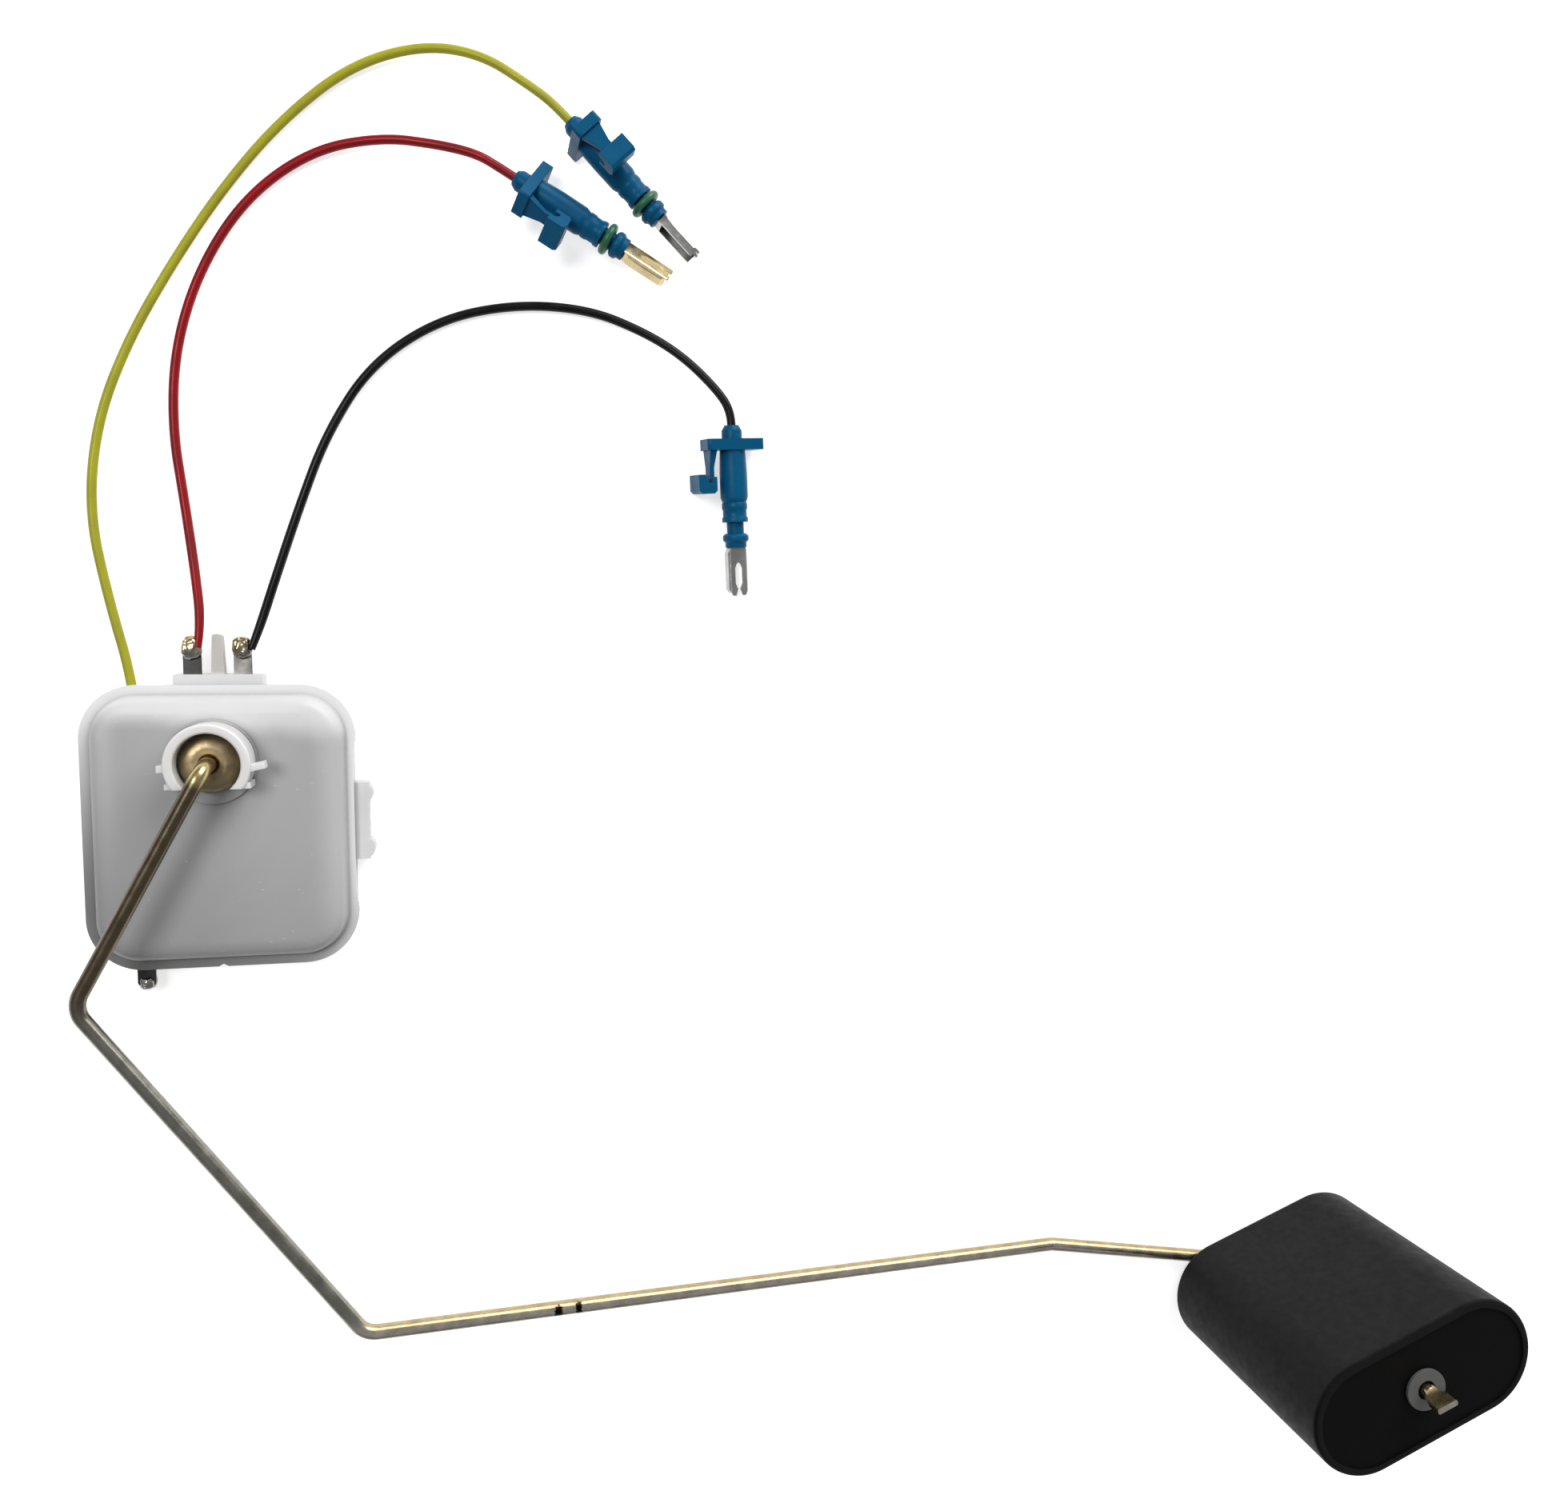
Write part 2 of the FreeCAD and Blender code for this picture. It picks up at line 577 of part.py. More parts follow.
def flange_recess():
    """The shallow recess along the flange's right edge, with a sloping lower end."""
    edge = HOUSING_RIGHT
    inner = edge - FLANGE_RECESS_DEPTH
    z = BASE_HEIGHT - 1
    notch = polygon_face([
        V(inner, FLANGE_RECESS_TOP - FLANGE_RECESS_TOP_RUN, z), V(edge, FLANGE_RECESS_TOP, z),
        V(edge + 1, FLANGE_RECESS_TOP, z),
        V(edge + 1, FLANGE_RECESS_BOTTOM - FLANGE_RECESS_BOTTOM_RUN, z),
        V(edge, FLANGE_RECESS_BOTTOM - FLANGE_RECESS_BOTTOM_RUN, z),
        V(inner, FLANGE_RECESS_BOTTOM, z)])
    return notch.extrude(V(0, 0, FLANGE_THICKNESS + 2))


def gate_mark():
    """The small notch in the middle of the flange's lower edge."""
    y = HOUSING_BOTTOM
    half = GATE_MARK_WIDTH / 2
    z = BASE_HEIGHT - 1
    notch = polygon_face([V(-half, y, z), V(-half, y - 1, z), V(half, y - 1, z), V(half, y, z),
                          V(0, y + GATE_MARK_DEPTH, z)])
    return notch.extrude(V(0, 0, FLANGE_THICKNESS + 2))


def retaining_clip():
    """C-shaped clip that stands on the bearing ring, its lip in the hub's groove."""
    top = RING_TOP + RETAINER_HEIGHT
    lip_top = RING_TOP + RETAINER_LIP_HEIGHT
    lip_radius = JOURNAL_RADIUS + RETAINER_LIP_GAP
    outer = RETAINER_OUTER_RADIUS
    inner = RETAINER_INNER_RADIUS
    c = RETAINER_CHAMFER
    sleeve = turned(((lip_radius, RING_TOP), (outer, RING_TOP), (outer, top - c), (outer - c, top),
                     (inner + c, top), (inner, top - c), (inner, lip_top), (lip_radius, lip_top)))
    reach = 2 * outer
    sleeve = sleeve.cut(box(-reach, -reach, RING_TOP - 1, reach, RETAINER_CUT_Y, top + 1))
    edge_x = math.sqrt(outer ** 2 - RETAINER_CUT_Y ** 2)
    pieces = [sleeve]
    for side in (-1, 1):
        x0 = side * (edge_x - RETAINER_ROOT)
        x1 = side * (edge_x + RETAINER_FOOT_REACH)
        pieces.append(box(min(x0, x1), RETAINER_CUT_Y, RING_TOP, max(x0, x1),
                          RETAINER_CUT_Y + RETAINER_FOOT_WIDTH, top - RETAINER_FOOT_DROP))
    half = EAR_WIDTH / 2
    root = outer - RETAINER_ROOT
    left = box(-outer - EAR_LEFT_REACH, EAR_Y - half, RING_TOP + EAR_LIFT,
               -root, EAR_Y + half, top - EAR_DROP)
    right = box(root, EAR_Y - half, RING_TOP + EAR_LIFT,
                outer + EAR_RIGHT_REACH, EAR_Y + half, top - EAR_DROP)
    right.rotate(V(outer, EAR_Y, 0), V(0, 0, 1), EAR_RIGHT_TILT)
    return fuse_all(pieces + [left, right])


def hub():
    """Turned brass hub: pivot, carrier seat, journal, groove and domed head."""
    crown = HEAD_TOP + HUB_CROWN_HEIGHT
    rim = HEAD_TOP - HUB_DOME_DROP
    dome = [(HUB_HEAD_RADIUS * share, rim + (crown - rim) * rise) for share, rise in HUB_DOME]
    foot = BASE_FLOOR + PIVOT_END_GAP
    seat = CARRIER_BOTTOM - CARRIER_SEAT_DROP
    socket = crown - WIRE_SOCKET_DEPTH
    return turned((
        (0, foot), (PIVOT_RADIUS, foot), (PIVOT_RADIUS, seat), (CARRIER_SEAT_RADIUS, seat),
        (CARRIER_SEAT_RADIUS, CARRIER_TOP), (JOURNAL_RADIUS, CARRIER_TOP),
        (JOURNAL_RADIUS, HEAD_BOTTOM), (HUB_HEAD_RADIUS, HEAD_BOTTOM), *dome,
        (HUB_PEEN_RADIUS, crown), (WIRE_RADIUS, crown - HUB_PEEN_DEPTH),
        (WIRE_RADIUS, socket), (0, socket)))


def arm_points():
    """Corners of the arm's centreline, from the hub's socket to the flattened end."""
    socket = HEAD_TOP + HUB_CROWN_HEIGHT - WIRE_SOCKET_DEPTH
    centre = V(0, 0, ARM_PLANE)
    elbow_1 = centre + heading(LEG_1_HEADING) * LEG_1_LENGTH
    elbow_2 = elbow_1 + heading(LEG_2_HEADING) * LEG_2_LENGTH
    elbow_3 = elbow_2 + heading(LEG_3_HEADING) * LEG_3_LENGTH
    elbow_3.z = WIRE_RADIUS
    foot = elbow_3 + heading(LEG_4_HEADING) * LEG_4_LENGTH
    end = V(foot.x, foot.y, WASHER_TOP + WIRE_END_PROUD)
    return [V(0, 0, socket), centre, elbow_1, elbow_2, elbow_3, foot, end]


def float_arm():
    """The arm: one bent wire with a flattened end that keeps the washer on."""
    points = arm_points()
    radii = (HUB_BEND_RADIUS, ELBOW_RADIUS, ELBOW_RADIUS, ELBOW_RADIUS, FLOAT_BEND_RADIUS)
    rod = swept_rod(bent_path(points, radii), WIRE_RADIUS)
    end = points[-1]
    z1 = end.z + PRESSED_STEP
    neck = flat_section(PRESSED_NECK_WIDTH / 2, PRESSED_THICKNESS / 2, z1)
    step = Part.makeLoft([
        flat_section(PRESSED_ROOT_HALF, PRESSED_ROOT_HALF, end.z - PIECE_ROOT), neck], True, True)
    blade = Part.makeLoft([
        neck, flat_section(PRESSED_WIDTH / 2, PRESSED_THICKNESS / 2, z1 + PRESSED_FLARE),
        flat_section(PRESSED_WIDTH / 2, PRESSED_TIP_THICKNESS / 2, z1 + PRESSED_LENGTH)],
        True, True)
    flat = step.fuse(blade)
    flat.rotate(V(0, 0, 0), V(0, 0, 1), FLOAT_HEADING)
    flat.translate(V(end.x, end.y, 0))
    return fuse_all([rod, flat])


def flat_section(half_w, half_t, z):
    """A rectangle with cut corners, for the wire's flattened end."""
    c = PRESSED_CORNER
    points = [V(-half_w + c, -half_t, z), V(half_w - c, -half_t, z), V(half_w, -half_t + c, z),
              V(half_w, half_t - c, z), V(half_w - c, half_t, z), V(-half_w + c, half_t, z),
              V(-half_w, half_t - c, z), V(-half_w, -half_t + c, z)]
    return Part.makePolygon(points + [points[0]])


def float_face(inset, z):
    """The float's outline, two straight sides and two round ends, taken in all round."""
    half = FLOAT_STRAIGHT / 2
    r = FLOAT_END_RADIUS - inset
    edges = [Part.LineSegment(V(-half, -r, z), V(half, -r, z)).toShape(),
             Part.Arc(V(half, -r, z), V(half + r, 0, z), V(half, r, z)).toShape(),
             Part.LineSegment(V(half, r, z), V(-half, r, z)).toShape(),
             Part.Arc(V(-half, r, z), V(-half - r, 0, z), V(-half, -r, z)).toShape()]
    return Part.Face(Part.Wire(edges))


def float_body():
    """Moulded foam float with rimmed ends, bored for the wire and countersunk at its bend."""
    block = float_face(0, FLOAT_BOTTOM).extrude(V(0, 0, FLOAT_LENGTH))
    rims = [e for e in block.Edges if abs(e.BoundBox.ZLength) < 0.01]
    block = block.makeFillet(FLOAT_EDGE_RADIUS, rims)
    top = FLOAT_TOP - FLOAT_FACE_RECESS
    bottom = FLOAT_BOTTOM + FLOAT_FACE_RECESS
    block = block.cut(float_face(FLOAT_RIM_WIDTH, top).extrude(V(0, 0, FLOAT_LENGTH)))
    block = block.cut(float_face(FLOAT_RIM_WIDTH, bottom).extrude(V(0, 0, -FLOAT_LENGTH)))
    bore = cylinder(WIRE_RADIUS + FLOAT_BORE_GAP, FLOAT_BOTTOM - 1, FLOAT_TOP + 1)
    mouth = Part.makeCone(FLOAT_MOUTH_RADIUS, WIRE_RADIUS, FLOAT_MOUTH_DEPTH,
                          V(0, 0, bottom))
    block = block.cut(bore).cut(mouth)
    block.rotate(V(0, 0, 0), V(0, 0, 1), FLOAT_HEADING)
    foot = arm_points()[-1]
    block.translate(V(foot.x, foot.y, 0))
    return block


def float_washer():
    """Flat washer between the float and the wire's flattened end."""
    foot = arm_points()[-1]
    ring = cylinder(WASHER_RADIUS, WASHER_BOTTOM, WASHER_TOP, foot.x, foot.y)
    hole = cylinder(WIRE_RADIUS + WASHER_HOLE_GAP, WASHER_BOTTOM - 1, WASHER_TOP + 1,
                    foot.x, foot.y)
    return ring.cut(hole)


def arc_band(radius, width, z0, z1, low, high):
    """A flat band along an arc about the hub's axis."""
    band = cylinder(radius + width / 2, z0, z1).cut(
        cylinder(radius - width / 2, z0 - 1, z1 + 1))
    lift = V(0, 0, z0)
    rays = [heading(angle) * 2 * radius + lift for angle in (low, (low + high) / 2, high)]
    wedge = polygon_face([lift] + rays).extrude(V(0, 0, z1 - z0))
    return band.common(wedge)


def resistor_card():
    """The card, with one strip up to the two upper blades and one down to the lower."""
    side = CARD_HALF_WIDTH
    strip = CARD_STRIP_WIDTH
    half = strip / 2
    top = HUB_TO_TOP - WALL_INSET - CARD_CLEARANCE
    low = HOUSING_BOTTOM + WALL_INSET + CARD_CLEARANCE
    plan = [(-side, CARD_BOTTOM_Y, side, CARD_TOP_Y),
            (-side, CARD_TOP_Y - 1, strip - side, top),
            (-side, top - strip, BLADE_RED_X + half, top),
            (side - strip, CARD_TOP_Y - 1, side, top),
            (BLADE_BLACK_X - half, top - strip, side, top),
            (BLADE_YELLOW_X - half, low, BLADE_YELLOW_X + half, CARD_BOTTOM_Y + 1),
            (min(BLADE_YELLOW_X - half, -side), CARD_BOTTOM_Y, 0, CARD_BOTTOM_Y + strip)]
    card = fuse_all([box(x0, y0, RIB_TOP, x1, y1, CARD_TOP) for x0, y0, x1, y1 in plan])
    for x, y in peg_places():
        card = card.cut(cylinder(PEG_RADIUS + PEG_GAP, RIB_TOP - 1, CARD_TOP + 1, x, y))
    return card.common(housing_slab(WALL_INSET + CARD_CLEARANCE, RIB_TOP - 1, CARD_TOP + 1))


def track(radius):
    """A track printed on the card."""
    return arc_band(radius, TRACK_WIDTH, CARD_TOP, CARD_TOP + TRACK_THICKNESS, TRACK_LOW,
                    TRACK_HIGH)


def wiper_carrier():
    """The moulded ring on the hub's seat, with an arm that carries the spring."""
    ring = cylinder(CARRIER_RADIUS, CARRIER_BOTTOM, CARRIER_TOP)
    arm = polygon_face([V(-CARRIER_ARM_HALF_ROOT, 0, CARRIER_BOTTOM),
                        V(CARRIER_ARM_HALF_ROOT, 0, CARRIER_BOTTOM),
                        V(CARRIER_ARM_HALF_TIP, -CARRIER_ARM_LENGTH, CARRIER_BOTTOM),
                        V(-CARRIER_ARM_HALF_TIP, -CARRIER_ARM_LENGTH, CARRIER_BOTTOM)])
    body = fuse_all([ring, arm.extrude(V(0, 0, CARRIER_ARM_THICKNESS))])
    body = body.cut(cylinder(CARRIER_SEAT_RADIUS, CARRIER_BOTTOM - 1, CARRIER_TOP + 1))
    return spun(body, LEG_1_HEADING)


def finger_line(radius):
    """The finger's start, its end past a contact, and its lower face's height there."""
    y0 = -CARRIER_ARM_LENGTH + FINGER_ROOT
    y1 = -radius - FINGER_PAST_CONTACT
    return y0, y1, CARD_TOP + TRACK_THICKNESS + CONTACT_GAP + CONTACT_RADIUS


def wiper_spring():
    """Leaf under the carrier's arm, with two fingers bent down to the tracks."""
    top = CARRIER_BOTTOM
    bottom = top - SPRING_THICKNESS
    half = FINGER_GAP / 2 + FINGER_WIDTH
    pieces = [box(-half, -CARRIER_ARM_LENGTH, bottom, half, -SPRING_START, top)]
    for x, radius in ((-half, CONTACT_TRACK_RADIUS), (FINGER_GAP / 2, TRACK_RADIUS)):
        y0, y1, tip_z = finger_line(radius)
        side = polygon_face([V(x, y0, bottom), V(x, y0, top),
                             V(x, y1, tip_z + SPRING_THICKNESS), V(x, y1, tip_z)])
        pieces.append(side.extrude(V(FINGER_WIDTH, 0, 0)))
    return spun(fuse_all(pieces), LEG_1_HEADING)


def wiper_contacts():
    """The two blunt contacts under the fingers, over the tracks."""
    x = (FINGER_GAP + FINGER_WIDTH) / 2
    contacts = []
    for side, radius in ((-1, CONTACT_TRACK_RADIUS), (1, TRACK_RADIUS)):
        z = finger_line(radius)[2]
        button = Part.makeCone(CONTACT_TIP_RADIUS, CONTACT_RADIUS, 2 * CONTACT_RADIUS,
                               V(side * x, -radius, z - CONTACT_RADIUS))
        button = button.cut(above_finger(side * x, radius))
        contacts.append(spun(button, LEG_1_HEADING))
    return Part.makeCompound(contacts)


def above_finger(x, radius):
    """What lies above a finger's lower face near its contact."""
    y0, y1, tip_z = finger_line(radius)
    slope = (CARRIER_BOTTOM - SPRING_THICKNESS - tip_z) / (y0 - y1)
    reach = 3 * CONTACT_RADIUS
    ends = [(y, tip_z + slope * (y - y1)) for y in (-radius - reach, -radius + reach)]
    side = polygon_face([V(x - reach, ends[0][0], ends[0][1]), V(x - reach, ends[1][0], ends[1][1]),
                         V(x - reach, ends[1][0], CARRIER_TOP),
                         V(x - reach, ends[0][0], CARRIER_TOP)])
    return side.extrude(V(2 * reach, 0, 0))


def blade(x, y0, y1, tip_y):
    """A terminal blade from the card to its solder, with rounded corners at its tip."""
    half = BLADE_WIDTH / 2
    strip = box(x - half, y0, CARD_TOP, x + half, y1, CARD_TOP + BLADE_THICKNESS)
    tips = [e for e in strip.Edges if e.BoundBox.ZLength > BLADE_THICKNESS * 0.9
            and abs(e.CenterOfMass.y - tip_y) < BLADE_CORNER]
    return strip.makeFillet(BLADE_CORNER, tips)


def terminal_upper(x):
    """A blade from the card's pad through the block to the solder."""
    start = HUB_TO_TOP - WALL_INSET - CARD_CLEARANCE - BLADE_ON_PAD
    return blade(x, start, BLADE_TIP_Y, BLADE_TIP_Y)


def terminal_yellow():
    """The lower blade, from the card's strip to the yellow cord's solder."""
    end = HOUSING_BOTTOM + WALL_INSET + CARD_CLEARANCE + BLADE_ON_PAD
    return blade(BLADE_YELLOW_X, BLADE_YELLOW_TIP_Y, end, BLADE_YELLOW_TIP_Y)


def solder(x, tip_y, sizes, tip, tube):
    """A rounded nugget on a blade's tip, less the blade and the cord it holds."""
    width, length, height, along, above = sizes
    y = tip_y + along
    z = CARD_TOP + BLADE_THICKNESS + above
    nugget = box(x - width / 2, y - length / 2, z - height / 2,
                 x + width / 2, y + length / 2, z + height / 2)
    nugget = nugget.makeFillet(SOLDER_ROUNDNESS * min(width, length, height), nugget.Edges)
    return nugget.cut(tip).cut(tube)


def cord(route, name):
    """A cord's tube along its route, each arc as large as its runs allow."""
    points = [V(*p) for p in route]
    runs = [(points[i + 1] - points[i]).Length for i in range(len(points) - 1)]
    radii = []
    for i in range(1, len(points) - 1):
        back = (points[i] - points[i - 1]).normalize()
        ahead = (points[i + 1] - points[i]).normalize()
        turn = back.getAngle(ahead)
        radii.append(0.45 * min(runs[i - 1], runs[i]) / math.tan(turn / 2))
    path = bent_path(points, radii)
    tube = swept_rod(path, CORD_DIAMETER / 2)
    section = math.pi * (CORD_DIAMETER / 2) ** 2
    print(name, "length %.1f" % path.Length,
          "volume ratio %.4f" % (tube.Volume / (section * path.Length)),
          "lowest %.3f" % tube.BoundBox.ZMin,
          "radii", " ".join("%.0f" % r for r in radii))
    return tube


def plug_stations():
    """Distances along the plug of the plate, barrel, nose, shoulder, groove and collar."""
    lengths = (PLUG_BOSS_LENGTH, PLUG_PLATE_THICKNESS, PLUG_BARREL_LENGTH, PLUG_NOSE_LENGTH,
               PLUG_SHOULDER_LENGTH, PLUG_GROOVE_LENGTH, PLUG_COLLAR_LENGTH, PLUG_TAPER_LENGTH)
    stations = [0.0]
    for length in lengths:
        stations.append(stations[-1] + length)
    return stations


def along_x(shape):
    """Turns a solid built along +Z to lie along +X."""
    shape.rotate(V(0, 0, 0), V(0, 1, 0), 90)
    return shape


def plug_body():
    """The plug's moulded body: boss, plate, barrel, groove, collar and latch."""
    boss, plate, barrel, nose, shoulder, groove, collar, taper = plug_stations()[1:]
    thin = PLUG_BARREL_RADIUS - PLUG_BARREL_TAPER
    step = (barrel + nose) / 2
    profile = [(0, 0)]
    profile += [(PLUG_BOSS_RADIUS * share, boss * along) for share, along in PLUG_BOSS_DOME]
    profile += [
        (thin, boss), (thin, plate),
        (PLUG_BARREL_RADIUS, plate + PLUG_BARREL_WIDEST * PLUG_BARREL_LENGTH),
        (PLUG_BARREL_RADIUS, barrel - 2 * RING_LINE_WIDTH), (thin, barrel),
        (thin - RING_LINE_DEPTH, barrel + RING_LINE_WIDTH),
        (thin, barrel + 2 * RING_LINE_WIDTH), (thin, step),
        (PLUG_NOSE_RADIUS, step + RING_LINE_WIDTH), (PLUG_NOSE_RADIUS, nose),
        (PLUG_SHOULDER_RADIUS, nose + RING_LINE_WIDTH), (PLUG_SHOULDER_RADIUS, shoulder),
        (PLUG_GROOVE_RADIUS, shoulder), (PLUG_GROOVE_RADIUS, groove),
        (PLUG_COLLAR_RADIUS - PLUG_COLLAR_CHAMFER, groove),
        (PLUG_COLLAR_RADIUS, groove + PLUG_COLLAR_CHAMFER),
        (PLUG_COLLAR_RADIUS, collar - PLUG_COLLAR_CHAMFER), (PLUG_TAPER_RADIUS, collar),
        (PLUG_TAPER_RADIUS, taper), (0, taper)]
    stem = along_x(turned(profile))
    plate_block = box(boss, -PLUG_PLATE_OTHER_SIDE, -PLUG_PLATE_HALF_HEIGHT,
                      plate, PLUG_PLATE_LATCH_SIDE, PLUG_PLATE_HALF_HEIGHT)
    corners = [e for e in plate_block.Edges if e.BoundBox.XLength > PLUG_PLATE_THICKNESS * 0.9]
    plate_block = plate_block.makeFillet(PLUG_PLATE_CORNER, corners)
    body = fuse_all([stem, plate_block, latch(plate)])
    fork_space = along_x(cylinder(FORK_SHANK_RADIUS, taper - FORK_SHANK, taper + 1))
    return body.cut(fork_space)


def latch(start):
    """The thin springy lever beside the barrel and the U-shaped hook at its end."""
    end = start + LATCH_LENGTH
    inner = LATCH_INNER
    outer = inner + LATCH_THICKNESS
    root = rectangle_x(start - PLUG_PLATE_THICKNESS / 2, outer - LATCH_ROOT_THICKNESS, outer,
                       LATCH_ROOT_HALF_WIDTH)
    waist = rectangle_x(start + LATCH_WAIST * LATCH_LENGTH, inner, outer, LATCH_HALF_WIDTH)
    tip = rectangle_x(end - HOOK_FLOOR / 2, inner, outer, LATCH_HALF_WIDTH)
    lever = Part.makeLoft([root, waist, tip], True, True)
    wall = outer + HOOK_NOTCH
    back = wall + HOOK_WALL_ROOT
    c = HOOK_CHAMFER
    profile = ((end - HOOK_INNER_HEIGHT, inner), (end - c, inner), (end, inner + c),
               (end, back - c), (end - c, back), (end - HOOK_HEIGHT, back),
               (end - HOOK_HEIGHT, back - HOOK_WALL_TIP), (end - HOOK_FLOOR - c, wall),
               (end - HOOK_FLOOR, wall - c), (end - HOOK_FLOOR, outer),
               (end - HOOK_INNER_HEIGHT, outer))
    hook = polygon_face([V(x, y, -HOOK_HALF_WIDTH) for x, y in profile])
    return fuse_all([lever, hook.extrude(V(0, 0, 2 * HOOK_HALF_WIDTH))])


def rectangle_x(x, y0, y1, half_z):
    """A rectangle across the plug's axis."""
    points = [V(x, y0, -half_z), V(x, y1, -half_z), V(x, y1, half_z), V(x, y0, half_z)]
    return Part.makePolygon(points + [points[0]])


def fork_terminal():
    """Pressed channel with a slot down its web, on a round shank in the body."""
    start = plug_stations()[-1]
    end = start + FORK_LENGTH
    w = FORK_HALF_WIDTH
    h = FORK_HALF_HEIGHT
    blank = box(start, -w, -h, end, w, h)
    rims = [e for e in blank.Edges if e.BoundBox.XLength > FORK_LENGTH * 0.9
            and e.CenterOfMass.z < 0]
    blank = blank.makeFillet(FORK_EDGE_RADIUS, rims)
    side = ((start, FORK_CROWN_HALF_WIDTH), (start + FORK_CROWN_FLARE, w),
            (end - FORK_TINE_TAPER, w), (end, FORK_TINE_TIP_HALF))
    solid = blank.common(mirrored_prism(side, h))
    channel = box(start + FORK_NECK, -w + FORK_SHEET, -h + FORK_SHEET, end + 1, w - FORK_SHEET,
                  h + 1)
    crown = start + FORK_CROWN_LENGTH
    edge = [(crown + along, half) for along, half in FORK_SLOT_START]
    edge += [(end - along, half) for along, half in FORK_SLOT_END]
    edge.append((end + 1, FORK_SLOT_END[-1][1]))
    slot = mirrored_prism(edge, h + 1)
    shank = along_x(cylinder(FORK_SHANK_RADIUS, start - FORK_SHANK, start + FORK_NECK / 2))
    return fuse_all([solid, shank]).cut(channel).cut(slot)


def mirrored_prism(side, half_height):
    """A prism whose outline is one side's (x, half width) points and their mirror."""
    points = [V(x, y, -half_height) for x, y in side]
    points += [V(x, -y, -half_height) for x, y in reversed(side)]
    return polygon_face(points).extrude(V(0, 0, 2 * half_height))


def o_ring():
    """The ring in the plug's groove."""
    shoulder, groove = plug_stations()[5:7]
    middle = (shoulder + groove) / 2
    return along_x(Part.makeTorus(PLUG_GROOVE_RADIUS + O_RING_SECTION / 2,
                                  O_RING_SECTION / 2, V(0, 0, middle)))


def placed(shape, colour):
    """A plug piece moved to where its plug lies."""
    (x, y, z), turn, drop, roll = PLUG_PLACES[colour]
    about = Rotation(V(0, 0, 1), turn)
    about = about.multiply(Rotation(V(0, 1, 0), drop))
    about = about.multiply(Rotation(V(1, 0, 0), roll))
    moved = shape.copy()
    moved.Placement = FreeCAD.Placement(V(x, y, z), about).multiply(moved.Placement)
    return moved


def build_nodes():
    """Every node of the sender, by name."""
    nodes = {
        "base_shell": base_shell(),
        "lid": lid(),
        "retaining_clip": retaining_clip(),
        "resistor_card": resistor_card(),
        "resistor_track": track(TRACK_RADIUS),
        "contact_track": track(CONTACT_TRACK_RADIUS),
        "terminal_red": terminal_upper(BLADE_RED_X),
        "terminal_black": terminal_upper(BLADE_BLACK_X),
        "terminal_yellow": terminal_yellow(),
        "hub": hub(),
        "wiper_carrier": wiper_carrier(),
        "wiper_spring": wiper_spring(),
        "wiper_contacts": wiper_contacts(),
        "float_arm": float_arm(),
        "float_washer": float_washer(),
        "float": float_body(),
    }
    for colour, route, blade_x, tip_y, sizes in (
            ("yellow", YELLOW_ROUTE, BLADE_YELLOW_X, BLADE_YELLOW_TIP_Y, SOLDER_LOWER),
            ("red", RED_ROUTE, BLADE_RED_X, BLADE_TIP_Y, SOLDER_UPPER),
            ("black", BLACK_ROUTE, BLADE_BLACK_X, BLADE_TIP_Y, SOLDER_UPPER)):
        tube = cord(route, colour)
        nodes[colour + "_cord"] = tube
        nodes["solder_" + colour] = solder(blade_x, tip_y, sizes, nodes["terminal_" + colour], tube)
        nodes["plug_" + colour] = placed(plug_body(), colour)
        nodes["fork_" + colour] = placed(fork_terminal(), colour)
        if colour != "black":
            nodes["o_ring_" + colour] = placed(o_ring(), colour)
    return nodes


os.makedirs("parts", exist_ok=True)
for node, shape in build_nodes().items():
    shape.exportStep("parts/" + node + ".step")
    print(node, "valid" if shape.isValid() else "NOT VALID", "solids", len(shape.Solids),
          "volume %.1f" % shape.Volume)
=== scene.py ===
import json
import math

import bmesh
import bpy
from bpy.props import FloatProperty, FloatVectorProperty, IntProperty, PointerProperty
from mathutils import Matrix, Vector, noise

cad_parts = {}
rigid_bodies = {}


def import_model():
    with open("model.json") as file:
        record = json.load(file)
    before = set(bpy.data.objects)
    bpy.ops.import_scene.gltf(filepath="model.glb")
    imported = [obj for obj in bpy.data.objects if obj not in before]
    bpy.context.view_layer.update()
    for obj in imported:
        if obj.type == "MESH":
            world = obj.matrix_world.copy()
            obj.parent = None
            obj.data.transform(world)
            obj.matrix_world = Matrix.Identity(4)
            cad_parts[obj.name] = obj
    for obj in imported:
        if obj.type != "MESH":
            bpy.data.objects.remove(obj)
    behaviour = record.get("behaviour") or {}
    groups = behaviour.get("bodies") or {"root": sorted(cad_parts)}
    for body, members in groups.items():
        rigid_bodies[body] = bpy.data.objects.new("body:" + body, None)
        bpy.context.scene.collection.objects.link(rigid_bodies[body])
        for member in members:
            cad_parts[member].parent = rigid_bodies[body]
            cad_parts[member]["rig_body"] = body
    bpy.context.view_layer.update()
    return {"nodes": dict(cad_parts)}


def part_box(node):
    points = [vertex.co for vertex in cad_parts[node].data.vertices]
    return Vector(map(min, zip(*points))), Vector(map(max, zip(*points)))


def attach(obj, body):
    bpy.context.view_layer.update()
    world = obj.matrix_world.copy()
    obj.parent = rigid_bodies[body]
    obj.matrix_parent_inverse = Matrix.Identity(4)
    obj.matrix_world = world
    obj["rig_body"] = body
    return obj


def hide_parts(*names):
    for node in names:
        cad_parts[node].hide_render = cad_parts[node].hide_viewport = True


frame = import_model()
NODES = frame["nodes"]

bl_info = {
    "name": "Fuel Level Sender",
    "version": (1, 0, 0),
    "blender": (4, 5, 0),
    "location": "View3D > Sidebar > Fuel Level Sender",
    "description": "Dresses a fuel level sender that lies on its back, part by part",
    "category": "Object",
}

